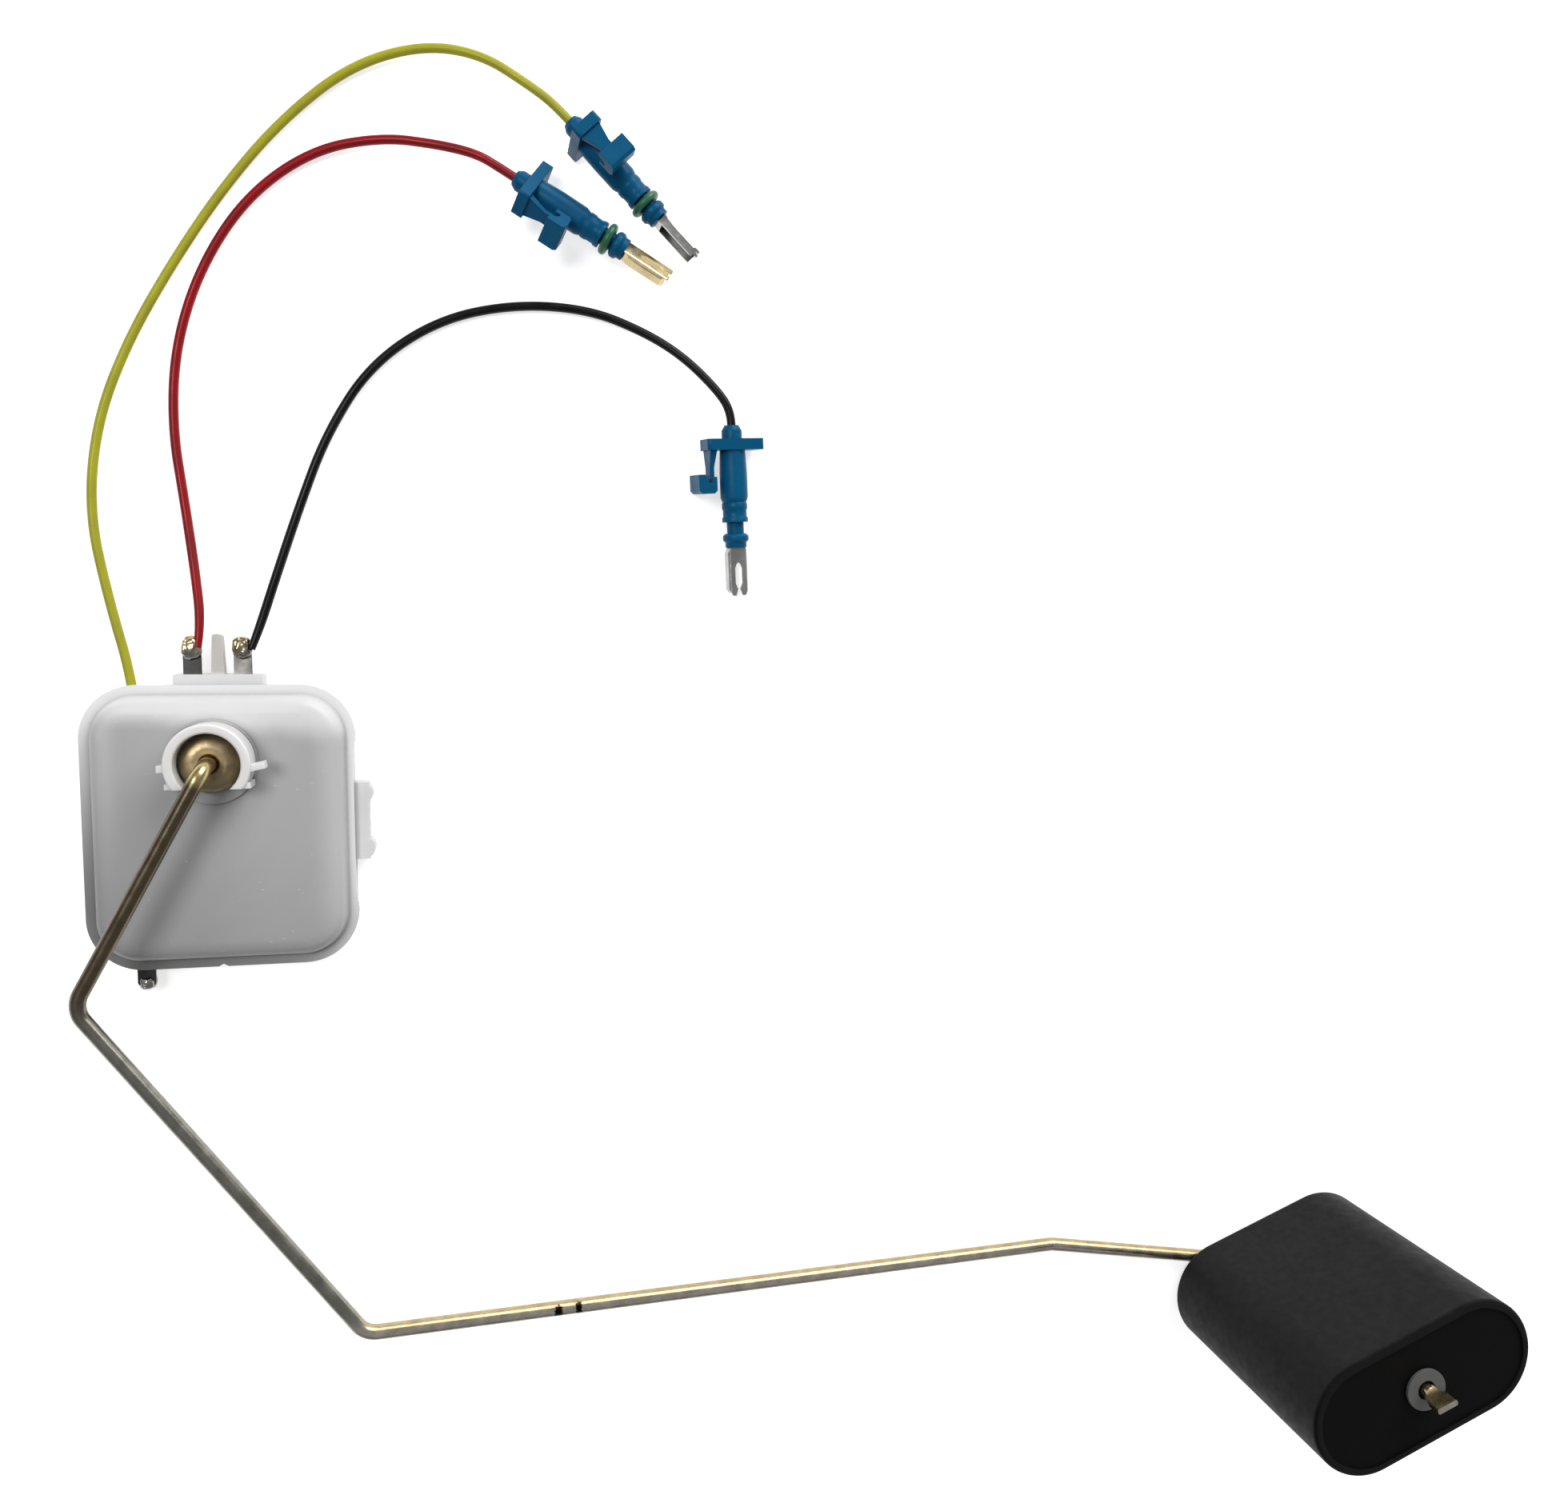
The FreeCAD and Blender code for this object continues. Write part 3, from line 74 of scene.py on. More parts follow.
# Places on the lid, in metres: its middle as X, the heights between which the flange gives
# way to the panel, where painted light whitens the panel towards its top as Y, and towards its
# sides as distances from the middle
LID_MIDDLE = 0.0006
PANEL_FOOT = (0.0065, 0.0069)
PANEL_TOP_LIGHT = (0.0042, 0.0092)
PANEL_SIDE = (0.0165, 0.0225)
# Painted shade darkens the lid towards its lower left corner: how much X counts beside Y, and
# over which run
SHADE_LEAN = 0.6
SHADE_RUN = (-0.045, 0.0)
# How much X counts beside Y where painted light whitens the panel's top, and how far its sides
# whiten where the painted light falls
TOP_LIGHT_LEAN = 0.08
SIDE_SHARE = 0.3
# How far these borders wander in metres, and at which scale
BORDER_DRIFT = 0.0012
BORDER_SCALE = 55.0
# Fine scuffs on the panel: their stretch and scale, the noise that shows them, and their most
SCUFF_STRETCH = (1.0, 3.0, 1.0)
SCUFF_SCALE = 420.0
SCUFF_SHOWS = (0.72, 0.78)
SCUFF_MOST = 0.5
# The creamy post on the base, in metres: its middle and half width as X, and its start as Y
POST_MIDDLE = 0.0004
POST_HALF = (0.0016, 0.0013)
POST_STARTS = (0.0166, 0.0174)
# Distances from the hub's axis: the painted shade on the dome's rim, and the painted highlight
# on the wire's gold bend
HUB_RIM_SHADE = (0.0037, 0.0046)
BEND_HIGHLIGHT = (0.0046, 0.0026)
# Places along the wire, as -Y: where the bronze ends, and where the bright plating starts
BRONZE_ENDS = (0.041, 0.050)
PLATING_STARTS = (0.1085, 0.1135)
# How far the wire's surface turns back or forward, as its normal's Y, for the painted
# reflection on its back and the painted shade on its front
BACK_REFLECTION_TURN = (0.25, 0.6)
FRONT_SHADE_TURN = (-0.15, -0.5)
# The two dark bands on the wire: middle, as X, and half width; where, as -Y, they stop short
# of its back; the share of their width that is fully dark; and their ragged edge
WIRE_BANDS = ((0.0646, 0.00095), (0.0688, 0.00085))
BAND_SIDE = (0.11405, 0.11445)
BAND_CORE = 0.7
BAND_COLOUR = (0.004, 0.004, 0.004)
RAGGED_REACH = 0.0003
RAGGED_SCALE = 1400.0
# The heights between which the mask of the painted shade on the float's sunk end face rises,
# and those where it falls again
FACE_STARTS = (0.05905, 0.0591)
FACE_ENDS = (0.0595, 0.05945)
# Where the solder turns from silver to gold, as Y, and how far that border wanders and at
# which scale
SOLDER_TURNS = (0.0205, 0.0222)
SOLDER_DRIFT = 0.001
SOLDER_DRIFT_SCALE = 500.0
# The solder's lumps and the finer ripples on them: scale, where each noise is read, and its
# step from nugget to nugget; the ripples' share, and how far the lumps reach
LUMP_SCALE, LUMP_PLACE, LUMP_STEP = 1.6, (2.0, 5.0), 7.3
RIPPLE_SCALE, RIPPLE_PLACE, RIPPLE_STEP = 3.7, (1.0, 9.0), 3.1
RIPPLE_SHARE = 0.4
LUMP_REACH = 0.16
# The power that makes a nugget squarer, where 1 leaves a ball, and how much of its box it fills
NUGGET_POWER = 0.8
NUGGET_FILL = 0.97

# Noise values: the middle ones, which most of a noise texture has, and those that show as
# clouds and as specks
NOISE_MIDDLE = (0.3, 0.7)
CLOUDS_SHOW = (0.35, 0.72)
SPECKS_SHOW = (0.58, 0.74)
# How open a corner is where the painted corner shade starts and where it is full, and the
# samples that tell
CORNER_OPEN = (0.85, 0.3)
CORNER_SAMPLES = 4
# Colour sockets of a Mix node, which share their names with others: A, B and the result
MIX_A, MIX_B, MIX_RESULT = 6, 7, 2

# The shared groups' plain inputs, in the order of the tuples below
MOTTLE_INPUTS = ("Scale", "Amount", "Speck scale", "Specks")
GRAIN_INPUTS = ("Scale", "Height", "Wave scale", "Wave height", "Smooth", "Rough")
CORNER_SHADE_INPUTS = ("Shade tone", "Amount", "Distance")
# Mottle: scale and amount of the clouds, then of the specks
PLASTIC_MOTTLE = (45.0, 0.5, 700.0, 0.15)
LID_MOTTLE = (40.0, 0.12, 600.0, 0.06)
PLUG_MOTTLE = (90.0, 0.4, 1200.0, 0.2)
CORD_MOTTLE = (160.0, 0.6, 1500.0, 0.3)
METAL_MOTTLE = (260.0, 0.5, 2600.0, 0.3)
GOLD_MOTTLE = (260.0, 0.25, 2600.0, 0.15)
BLADE_MOTTLE = (330.0, 0.8, 2200.0, 0.4)
HUB_MOTTLE = (330.0, 0.7, 2200.0, 0.3)
SOLDER_MOTTLE = (420.0, 0.8, 2200.0, 0.4)
WIRE_MOTTLE = (420.0, 0.35, 2600.0, 0.3)
FOAM_CLOUDS = (70.0, 0.3)
FOAM_PORES = 0.3
# Grain: scale and height of the fine bumps, then of the waves, and both ends of the roughness
INK_GRAIN = (900.0, 0.000003, 350.0, 0.000006, 0.3, 0.5)
SPRING_GRAIN = (900.0, 0.000003, 350.0, 0.000006, 0.2, 0.4)
BLADE_GRAIN = (900.0, 0.00001, 350.0, 0.00002, 0.3, 0.5)
SILVER_GRAIN = (900.0, 0.000001, 350.0, 0.000002, 0.18, 0.32)
GOLD_GRAIN = (900.0, 0.000001, 350.0, 0.000002, 0.16, 0.32)
HUB_GRAIN = (650.0, 0.00003, 300.0, 0.00005, 0.3, 0.48)
SOLDER_GRAIN = (300.0, 0.00006, 900.0, 0.000015, 0.12, 0.3)
WIRE_GRAIN = (1600.0, 0.000005, 300.0, 0.000008, 0.2, 0.34)
# The foam's grain, after the scale of its pores
FOAM_GRAIN = (0.00001, 500.0, 0.000006, 0.5, 0.65)
# A moulded skin's grain: its bumps and the scale of its waves, the waves' height, and how far
# its roughness goes down and up
SKIN_BUMPS = (2400.0, 0.000004, 160.0)
SKIN_WAVE = 0.00002
PLUG_WAVE = 0.000005
SMOOTHER = 0.07
LID_SMOOTHER = 0.05
ROUGHER = 0.1
# Painted shade in the corners, where ambient occlusion finds them: colour, amount and reach in
# metres
LID_CORNER_SHADE = ((0.10, 0.10, 0.10), 0.95, 0.0018)
SHELL_CORNER_SHADE = ((0.25, 0.24, 0.22), 0.35, 0.0012)
HUB_CORNER_SHADE = ((0.06, 0.045, 0.02), 0.3, 0.0008)
PLUG_CORNER_SHADE = ((0.0005, 0.02, 0.05), 0.7, 0.0012)
SILVER_CORNER_SHADE = ((0.02, 0.02, 0.02), 1.0, 0.0025)
GOLD_CORNER_SHADE = ((0.05, 0.04, 0.02), 0.5, 0.0025)
# The shade that each finish clouds into
BLADE_SHADE = (0.08, 0.08, 0.075)
SOLDER_SHADE = (0.09, 0.08, 0.06)
WIRE_SHADE = (0.06, 0.05, 0.035)
SILVER_SHADE = (0.15, 0.15, 0.14)
GOLD_SHADE = (0.35, 0.25, 0.12)
WASHER_SHADE = (0.08, 0.08, 0.08)
PLUG_SHADE = (0.004, 0.12, 0.26)
RING_SHADE = (0.02, 0.16, 0.08)
CORD_SHADES = {"yellow": (0.27, 0.26, 0.03), "red": (0.12, 0.004, 0.006),
               "black": (0.006, 0.006, 0.006)}
# Roughness, gloss and softness of the plastics
CLIP_ROUGHNESS = 0.35
WASHER_ROUGHNESS = 0.5
PLUG_ROUGHNESS = 0.34
RING_ROUGHNESS = 0.4
CORD_ROUGHNESS = 0.3
PLASTIC_SHINE = 0.5
PLUG_SHINE = 0.1
CORD_SHINE = 0.22
SHELL_SOFT = 0.25
CLIP_SOFT = 0.8
SOFT_DEPTH = {"Subsurface Radius": (1.0, 0.95, 0.9), "Subsurface Scale": 0.0015}
FOAM_GLOSS = {"Specular IOR Level": 0.085, "Sheen Weight": 0.045, "Sheen Roughness": 0.45}
# The parts inside: colour, shade and, for the plastics, roughness
CARD_LOOK = ((0.62, 0.58, 0.48), (0.50, 0.45, 0.36), 0.5)
CARBON_LOOK = ((0.015, 0.015, 0.016), (0.03, 0.03, 0.03), 0.6)
NYLON_LOOK = ((0.70, 0.69, 0.66), (0.55, 0.54, 0.50), 0.45)
SPRING_COLOURS = ((0.60, 0.36, 0.17), (0.35, 0.2, 0.1))

# Meshes: how near in metres points are merged, and the angles in degrees under which faces
# are joined as flat, over which edges are rounded, and over which they are shaded sharp
MERGE_DISTANCE = 1e-6
FLAT_ANGLE = 0.4
ROUND_ANGLE = 35.0
SHARP_ANGLE = 32.0
# Steps in a rounded edge, how much large faces count in its normals, and how fine the
# nuggets and the cords' round sections are
EDGE_SEGMENTS = 2
FLAT_WEIGHT = 60
NUGGET_SUBDIVISIONS = 5
CORD_ROUNDNESS = 6

# Cord routes in metres, from the solder to the plug: control points of a smooth spline
YELLOW_ROUTE = (
    (-0.0148, -0.044, 0.0011), (-0.0146, -0.037, 0.0011), (-0.0148, -0.021, 0.0011),
    (-0.0152, -0.003, 0.0011), (-0.0157, 0.0145, 0.0011), (-0.0197, 0.0315, 0.0011),
    (-0.0225, 0.048, 0.0011), (-0.0205, 0.065, 0.0011), (-0.0145, 0.0805, 0.0011),
    (-0.0058, 0.096, 0.0011), (0.0039, 0.1108, 0.0011), (0.0148, 0.1241, 0.0012),
    (0.0276, 0.1352, 0.0014), (0.0412, 0.1402, 0.0022), (0.0528, 0.1391, 0.0037),
    (0.0623, 0.1332, 0.0055), (0.0669, 0.12996, 0.00606), (0.06997, 0.12682, 0.0063))
RED_ROUTE = (
    (-0.003, 0.0219, 0.0056), (-0.0023, 0.0267, 0.005), (-0.0033, 0.036, 0.0031),
    (-0.0051, 0.05, 0.0014), (-0.00695, 0.0645, 0.0011), (-0.0059, 0.08, 0.0011),
    (-0.0009, 0.0953, 0.0011), (0.008, 0.1093, 0.0011), (0.0204, 0.1189, 0.0013),
    (0.0334, 0.122, 0.0023), (0.0435, 0.121, 0.0043), (0.0515, 0.1194, 0.0056),
    (0.05603, 0.11701, 0.00586), (0.05904, 0.11523, 0.006))
BLACK_ROUTE = (
    (0.0069, 0.0217, 0.0056), (0.0085, 0.0258, 0.005), (0.0116, 0.036, 0.0031),
    (0.0162, 0.05, 0.0014), (0.0216, 0.0643, 0.0011), (0.0303, 0.0783, 0.0011),
    (0.0437, 0.0879, 0.0011), (0.059, 0.0918, 0.0011), (0.074, 0.0915, 0.0013),
    (0.0853, 0.0874, 0.002), (0.0932, 0.0826, 0.0034), (0.1001, 0.076, 0.0045),
    (0.10307, 0.07171, 0.00471), (0.10324, 0.06872, 0.0045))
# Each cord: its route, its real length in metres and the pieces on it
CORDS = {
    "yellow": (YELLOW_ROUTE, 0.2429, ("plug_yellow", "fork_yellow", "o_ring_yellow")),
    "red": (RED_ROUTE, 0.1471, ("plug_red", "fork_red", "o_ring_red")),
    "black": (BLACK_ROUTE, 0.1476, ("plug_black", "fork_black")),
}


def colour_property(name, description, default):
    """A colour setting."""
    return FloatVectorProperty(name=name, description=description, subtype="COLOR",
                               size=3, min=0.0, max=1.0, default=default)


def length_property(name, description, default):
    """A length setting in metres."""
    return FloatProperty(name=name, description=description, subtype="DISTANCE",
                         unit="LENGTH", min=0.0, precision=5, default=default)


def plain_property(name, description, default, low=0.0, high=1000.0):
    """A bare number setting."""
    return FloatProperty(name=name, description=description, min=low, max=high,
                         default=default)


class HousingSettings(bpy.types.PropertyGroup):
    shell_colour: colour_property("Shell", "White of the base and the lid's flange",
                                  (0.80, 0.80, 0.81))
    panel_colour: colour_property("Panel", "Greyer white of the raised panel",
                                  (0.385, 0.385, 0.39))
    # Painted shade on the panel away from its top and right
    shaded_panel_colour: colour_property("Shaded panel", "The panel away from its top and right",
                                 (0.30, 0.30, 0.305))
    # Painted light: the panel whiter along its upper edge
    lit_top_colour: colour_property("Lit panel top", "The panel along its upper edge",
                                (0.68, 0.68, 0.685))
    # Painted shade on the flange away from its top and right
    shaded_flange_colour: colour_property("Shaded flange", "The flange away from its top and right",
                                   (0.21, 0.21, 0.21))
    clip_colour: colour_property("Clip", "Milky white of the clip round the hub",
                                 (0.73, 0.72, 0.70))
    post_colour: colour_property("Post", "Creamier post between the blades",
                                 (0.52, 0.49, 0.455))
    stain_colour: colour_property("Stain", "Faint dark stain in the white",
                                  (0.52, 0.51, 0.50))
    edge_radius: length_property("Edge radius", "Rounding of the moulded edges", 0.00022)
    roughness: plain_property("Roughness", "Roughness of the moulded plastic", 0.42, 0.0, 1.0)


class MetalSettings(bpy.types.PropertyGroup):
    brass_colour: colour_property("Brass", "Turned hub", (0.42, 0.32, 0.175))
    # Painted shade on the dome's rim
    brass_rim_shade: colour_property("Shaded brass rim", "Darker rim of the hub", (0.33, 0.26, 0.15))
    # Painted highlight on the wire's bend over the hub
    bend_highlight_colour: colour_property("Gold", "Wire's bend over the hub", (0.60, 0.49, 0.24))
    # Painted reflection on the back of the plated wire
    back_reflection_colour: colour_property("Back reflection", "Back of the plated wire", (0.50, 0.39, 0.21))
    # Painted shade on the front of the plated wire
    front_shade_colour: colour_property("Front shade", "Front of the plated wire", (0.27, 0.23, 0.175))
    bronze_colour: colour_property("Bronze", "Passivated wire near the hub",
                                   (0.14, 0.112, 0.075))
    iron_colour: colour_property("Grey steel", "Wire between its first two bends",
                                 (0.32, 0.31, 0.27))
    steel_colour: colour_property("Steel", "Plated wire towards the float",
                                  (0.72, 0.67, 0.60))
    dark_tin: colour_property("Dark tin", "Tarnished blades", (0.055, 0.055, 0.052))
    tin_colour: colour_property("Tin", "Blades and solder", (0.40, 0.385, 0.365))
    solder_gold: colour_property("Gold solder", "Gold tone of the solder's tips",
                                 (0.84, 0.70, 0.42))
    fork_silver: colour_property("Silver fork", "Tinned fork", (0.58, 0.58, 0.56))
    fork_gold: colour_property("Gold fork", "Gold-toned fork", (0.86, 0.70, 0.40))
    washer_colour: colour_property("Washer", "Grey washer", (0.10, 0.105, 0.10))
    edge_radius: length_property("Edge radius", "Rounding of the metal edges", 0.00012)


class FloatSettings(bpy.types.PropertyGroup):
    skin_colour: colour_property("Skin", "Black moulded skin", (0.0075, 0.0075, 0.0079))
    # Painted shade on the sunk end face; also the shade of the foam's clouds
    face_shade_and_cloud_colour: colour_property("Shaded face", "Blacker sunk end face and clouds",
                                 (0.0012, 0.0012, 0.0012))
    pore_scale: plain_property("Pore scale", "Pores per metre of the foam's skin", 2600.0,
                               1.0, 20000.0)


class CordSettings(bpy.types.PropertyGroup):
    diameter: length_property("Diameter", "Outer diameter of each cord", 0.00185)
    yellow: colour_property("Yellow", "Yellow insulation", (0.40, 0.39, 0.02))
    red: colour_property("Red", "Red insulation", (0.30, 0.004, 0.008))
    black: colour_property("Black", "Black insulation", (0.0025, 0.0025, 0.0022))
    end_share: plain_property("End", "Share of its thickness at which a cord meets its solder",
                              0.8, 0.1, 1.0)
    steps: IntProperty(name="Steps", description="Spline steps between two points",
                       min=4, max=64, default=20)


class PlugSettings(bpy.types.PropertyGroup):
    blue: colour_property("Blue", "Blue of the plug bodies", (0.001, 0.078, 0.178))
    ring_green: colour_property("Ring", "Green of the rings", (0.008, 0.10, 0.045))
    edge_radius: length_property("Edge radius", "Rounding of the plug's edges", 0.0002)


class StageSettings(bpy.types.PropertyGroup):
    floor_colour: colour_property("Floor", "Pale floor", (0.86, 0.86, 0.86))
    floor_size: length_property("Floor size", "Side of the square floor", 6.0)
    key_power: plain_property("Key", "Power of the key light in watts", 12.0)
    above_power: plain_property("Above", "Power of the light above in watts", 4.2)
    sky_strength: plain_property("Sky", "Strength of the even light", 0.31)


SETTINGS = {
    "sender_housing": HousingSettings,
    "sender_metal": MetalSettings,
    "sender_float": FloatSettings,
    "sender_cords": CordSettings,
    "sender_plugs": PlugSettings,
    "sender_stage": StageSettings,
}


# Shader nodes

def settings(name):
    """A group of settings on the scene."""
    return getattr(bpy.context.scene, name)


def rgba(colour):
    """A colour with full alpha."""
    return (*colour, 1.0)


def feed(tree, socket, value):
    """Links a socket to another one, or sets its number, vector or colour."""
    if isinstance(value, bpy.types.NodeSocket):
        tree.links.new(value, socket)
    elif socket.type == "RGBA":
        socket.default_value = rgba(value)
    else:
        socket.default_value = value


def noise_node(tree, vector, scale, detail=2.0, roughness=0.5):
    """A noise texture fed by a vector socket."""
    node = tree.nodes.new("ShaderNodeTexNoise")
    for socket, value in (("Vector", vector), ("Scale", scale), ("Detail", detail),
                          ("Roughness", roughness)):
        feed(tree, node.inputs[socket], value)
    return node.outputs["Fac"]


def stretch(tree, value, low, high, to_low=0.0, to_high=1.0):
    """A value's range mapped to another."""
    node = tree.nodes.new("ShaderNodeMapRange")
    for socket, number in (("Value", value), ("From Min", low), ("From Max", high),
                           ("To Min", to_low), ("To Max", to_high)):
        feed(tree, node.inputs[socket], number)
    return node.outputs["Result"]


def smooth_step(tree, value, low, high):
    """0 on one side of a range and 1 on the other, with a soft change between."""
    result = stretch(tree, value, low, high)
    result.node.interpolation_type = "SMOOTHSTEP"
    return result


def wander(tree, place, scale, reach, detail=2.0):
    """Noise that goes a distance to either side of 0."""
    return stretch(tree, noise_node(tree, place, scale, detail), *NOISE_MIDDLE, -reach, reach)


def calculated(tree, operation, *values):
    """A sum, product or other result of values and sockets."""
    node = tree.nodes.new("ShaderNodeMath")
    node.operation = operation
    for socket, value in zip(node.inputs, values):
        feed(tree, socket, value)
    return node.outputs[0]


def product(tree, a, b):
    """Two values multiplied."""
    return calculated(tree, "MULTIPLY", a, b)


def total(tree, a, b):
    """Two values added."""
    return calculated(tree, "ADD", a, b)


def larger(tree, a, b):
    """The larger of two values."""
    return calculated(tree, "MAXIMUM", a, b)


def away(tree, value, middle):
    """How far a value is from a middle, to either side."""
    return calculated(tree, "ABSOLUTE", total(tree, value, -middle))


def stretched(tree, vector, factors):
    """A vector scaled by three factors."""
    node = tree.nodes.new("ShaderNodeVectorMath")
    node.operation = "MULTIPLY"
    feed(tree, node.inputs[0], vector)
    feed(tree, node.inputs[1], factors)
    return node.outputs["Vector"]


def split_place(tree, place):
    """The three coordinates of a place."""
    node = tree.nodes.new("ShaderNodeSeparateXYZ")
    feed(tree, node.inputs[0], place)
    return node.outputs


def from_axis(tree, place):
    """Distance from the hub's axis."""
    node = tree.nodes.new("ShaderNodeVectorMath")
    node.operation = "LENGTH"
    feed(tree, node.inputs[0], stretched(tree, place, (1.0, 1.0, 0.0)))
    return node.outputs["Value"]


def blend_colours(tree, mask, a, b):
    """Two colours mixed by a mask; each is a colour or a socket."""
    node = tree.nodes.new("ShaderNodeMix")
    node.data_type = "RGBA"
    feed(tree, node.inputs["Factor"], mask)
    feed(tree, node.inputs[MIX_A], a)
    feed(tree, node.inputs[MIX_B], b)
    return node.outputs[MIX_RESULT]


# Shader groups

def new_group(name, inputs, outputs):
    """A shader group with sockets of given kinds, and its two end nodes."""
    group = bpy.data.node_groups.new(name, "ShaderNodeTree")
    for way, sockets in (("INPUT", inputs), ("OUTPUT", outputs)):
        for socket, kind in sockets.items():
            group.interface.new_socket(socket, in_out=way, socket_type="NodeSocket" + kind)
    return group, group.nodes.new("NodeGroupInput"), group.nodes.new("NodeGroupOutput")


def mottle_group():
    """Two colours in soft clouds, with fine specks."""
    group, start, end = new_group(
        "Mottle", {"Vector": "Vector", "Colour": "Color", "Shade": "Color",
                   **dict.fromkeys(MOTTLE_INPUTS, "Float")}, {"Colour": "Color"})
    given = start.outputs
    clouds = noise_node(group, given["Vector"], given["Scale"], detail=4.0)
    clouds = product(group, stretch(group, clouds, *CLOUDS_SHOW), given["Amount"])
    specks = noise_node(group, given["Vector"], given["Speck scale"])
    specks = product(group, stretch(group, specks, *SPECKS_SHOW), given["Specks"])
    feed(group, end.inputs["Colour"], blend_colours(
        group, larger(group, clouds, specks), given["Colour"], given["Shade"]))
    return group


def grain_group():
    """A fine bump over a slow one, and a roughness that wanders with it."""
    group, start, end = new_group(
        "Grain", {"Vector": "Vector", **dict.fromkeys(GRAIN_INPUTS, "Float")},
        {"Normal": "Vector", "Roughness": "Float"})
    given = start.outputs
    fine = noise_node(group, given["Vector"], given["Scale"], detail=3.0, roughness=0.6)
    slow = noise_node(group, given["Vector"], given["Wave scale"])
    bump = group.nodes.new("ShaderNodeBump")
    for socket, value in (("Strength", 1.0), ("Distance", 1.0), ("Height", total(
            group, product(group, fine, given["Height"]),
            product(group, slow, given["Wave height"])))):
        feed(group, bump.inputs[socket], value)
    feed(group, end.inputs["Normal"], bump.outputs["Normal"])
    feed(group, end.inputs["Roughness"],
         stretch(group, slow, *NOISE_MIDDLE, given["Smooth"], given["Rough"]))
    return group


def corner_shade_group():
    """Painted shade, darker in the corners that ambient occlusion finds."""
    group, start, end = new_group(
        "Corner shade", {"Colour": "Color", "Shade tone": "Color", "Amount": "Float",
                  "Distance": "Float"}, {"Colour": "Color"})
    given = start.outputs
    corner = group.nodes.new("ShaderNodeAmbientOcclusion")
    corner.samples = CORNER_SAMPLES
    feed(group, corner.inputs["Distance"], given["Distance"])
    closed = stretch(group, corner.outputs["AO"], *CORNER_OPEN)
    feed(group, end.inputs["Colour"], blend_colours(
        group, product(group, closed, given["Amount"]), given["Colour"], given["Shade tone"]))
    return group


GROUP_MAKERS = {"Mottle": mottle_group, "Grain": grain_group, "Corner shade": corner_shade_group}


def group_node(tree, name, values):
    """One of the shared groups, placed in a material with its own values."""
    node = tree.nodes.new("ShaderNodeGroup")
    node.node_tree = bpy.data.node_groups.get(name) or GROUP_MAKERS[name]()
    for socket, value in values.items():
        feed(tree, node.inputs[socket], value)
    return node


# Materials

def set_shader(material, values):
    """A material with its own shader's sockets set or linked."""
    shader = material.node_tree.nodes["Principled BSDF"]
    for socket, value in values.items():
        feed(material.node_tree, shader.inputs[socket], value)
    return material


def new_material(name, colour, shade, mottle, grain, corner_shade=None):
    """A material with mottle, grain and painted corner shade; its colour may be a function of
    its nodes.
    """
    material = bpy.data.materials.new(name)
    material.use_nodes = True
    tree = material.node_tree
    place = tree.nodes.new("ShaderNodeTexCoord").outputs["Object"]
    if callable(colour):
        colour = colour(tree, place)
    skin = group_node(tree, "Grain", {"Vector": place, **dict(zip(GRAIN_INPUTS, grain))})
    out = group_node(tree, "Mottle", {
        "Vector": place, "Colour": colour, "Shade": shade,
        **dict(zip(MOTTLE_INPUTS, mottle))}).outputs["Colour"]
    # Painted shade in the corners, from ambient occlusion
    if corner_shade:
        out = group_node(tree, "Corner shade", {
            "Colour": out, **dict(zip(CORNER_SHADE_INPUTS, corner_shade))}).outputs["Colour"]
    return set_shader(material, {"Base Color": out, "Normal": skin.outputs["Normal"],
                                 "Roughness": skin.outputs["Roughness"]})


def plastic(name, colour, shade, roughness, soft=0.0, mottle=PLASTIC_MOTTLE, corner_shade=None,
            shine=PLASTIC_SHINE, wave=SKIN_WAVE, smoother=SMOOTHER):
    """Moulded plastic with a faint cloudiness and a fine skin."""
    grain = (*SKIN_BUMPS, wave, roughness - smoother, roughness + ROUGHER)
    material = new_material(name, colour, shade, mottle, grain, corner_shade)
    set_shader(material, {"Specular IOR Level": shine})
    if soft:
        set_shader(material, {"Subsurface Weight": soft, **SOFT_DEPTH})
    return material


def metal(name, colour, shade, mottle, grain, corner_shade=None):
    """Metal with faint tarnish."""
    return set_shader(new_material(name, colour, shade, mottle, grain, corner_shade),
                      {"Metallic": 1.0})


def lid_colour(tree, place):
    """White flange, and a grey panel; painted light whitens the panel's top and its lit sides,
    and painted shade darkens panel and flange towards the lower left.
    """
    values = settings("sender_housing")
    across, along, up = split_place(tree, place)
    along = total(tree, along, wander(tree, place, BORDER_SCALE, BORDER_DRIFT, detail=3.0))
    # Painted shade towards the lower left, painted light towards the top and right
    lit_side = smooth_step(tree, total(tree, along, product(tree, across, SHADE_LEAN)),
                        *SHADE_RUN)
    leaning = total(tree, along, product(tree, across, TOP_LIGHT_LEAN))
    side = smooth_step(tree, away(tree, across, LID_MIDDLE), *PANEL_SIDE)
    scuffs = noise_node(tree, stretched(tree, place, SCUFF_STRETCH), SCUFF_SCALE,
                        roughness=0.7)
    panel = blend_colours(tree, lit_side, values.shaded_panel_colour, values.panel_colour)
    # Painted light on the panel's top and on its lit sides; the scuffs are real wear
    for mask, tone in (
            (smooth_step(tree, leaning, *PANEL_TOP_LIGHT), values.lit_top_colour),
            (product(tree, product(tree, side, lit_side), SIDE_SHARE), values.shell_colour),
            (stretch(tree, scuffs, *SCUFF_SHOWS, 0.0, SCUFF_MOST), values.shell_colour)):
        panel = blend_colours(tree, mask, panel, tone)
    flange = blend_colours(tree, lit_side, values.shaded_flange_colour, values.shell_colour)
    return blend_colours(tree, stretch(tree, up, *PANEL_FOOT), flange, panel)


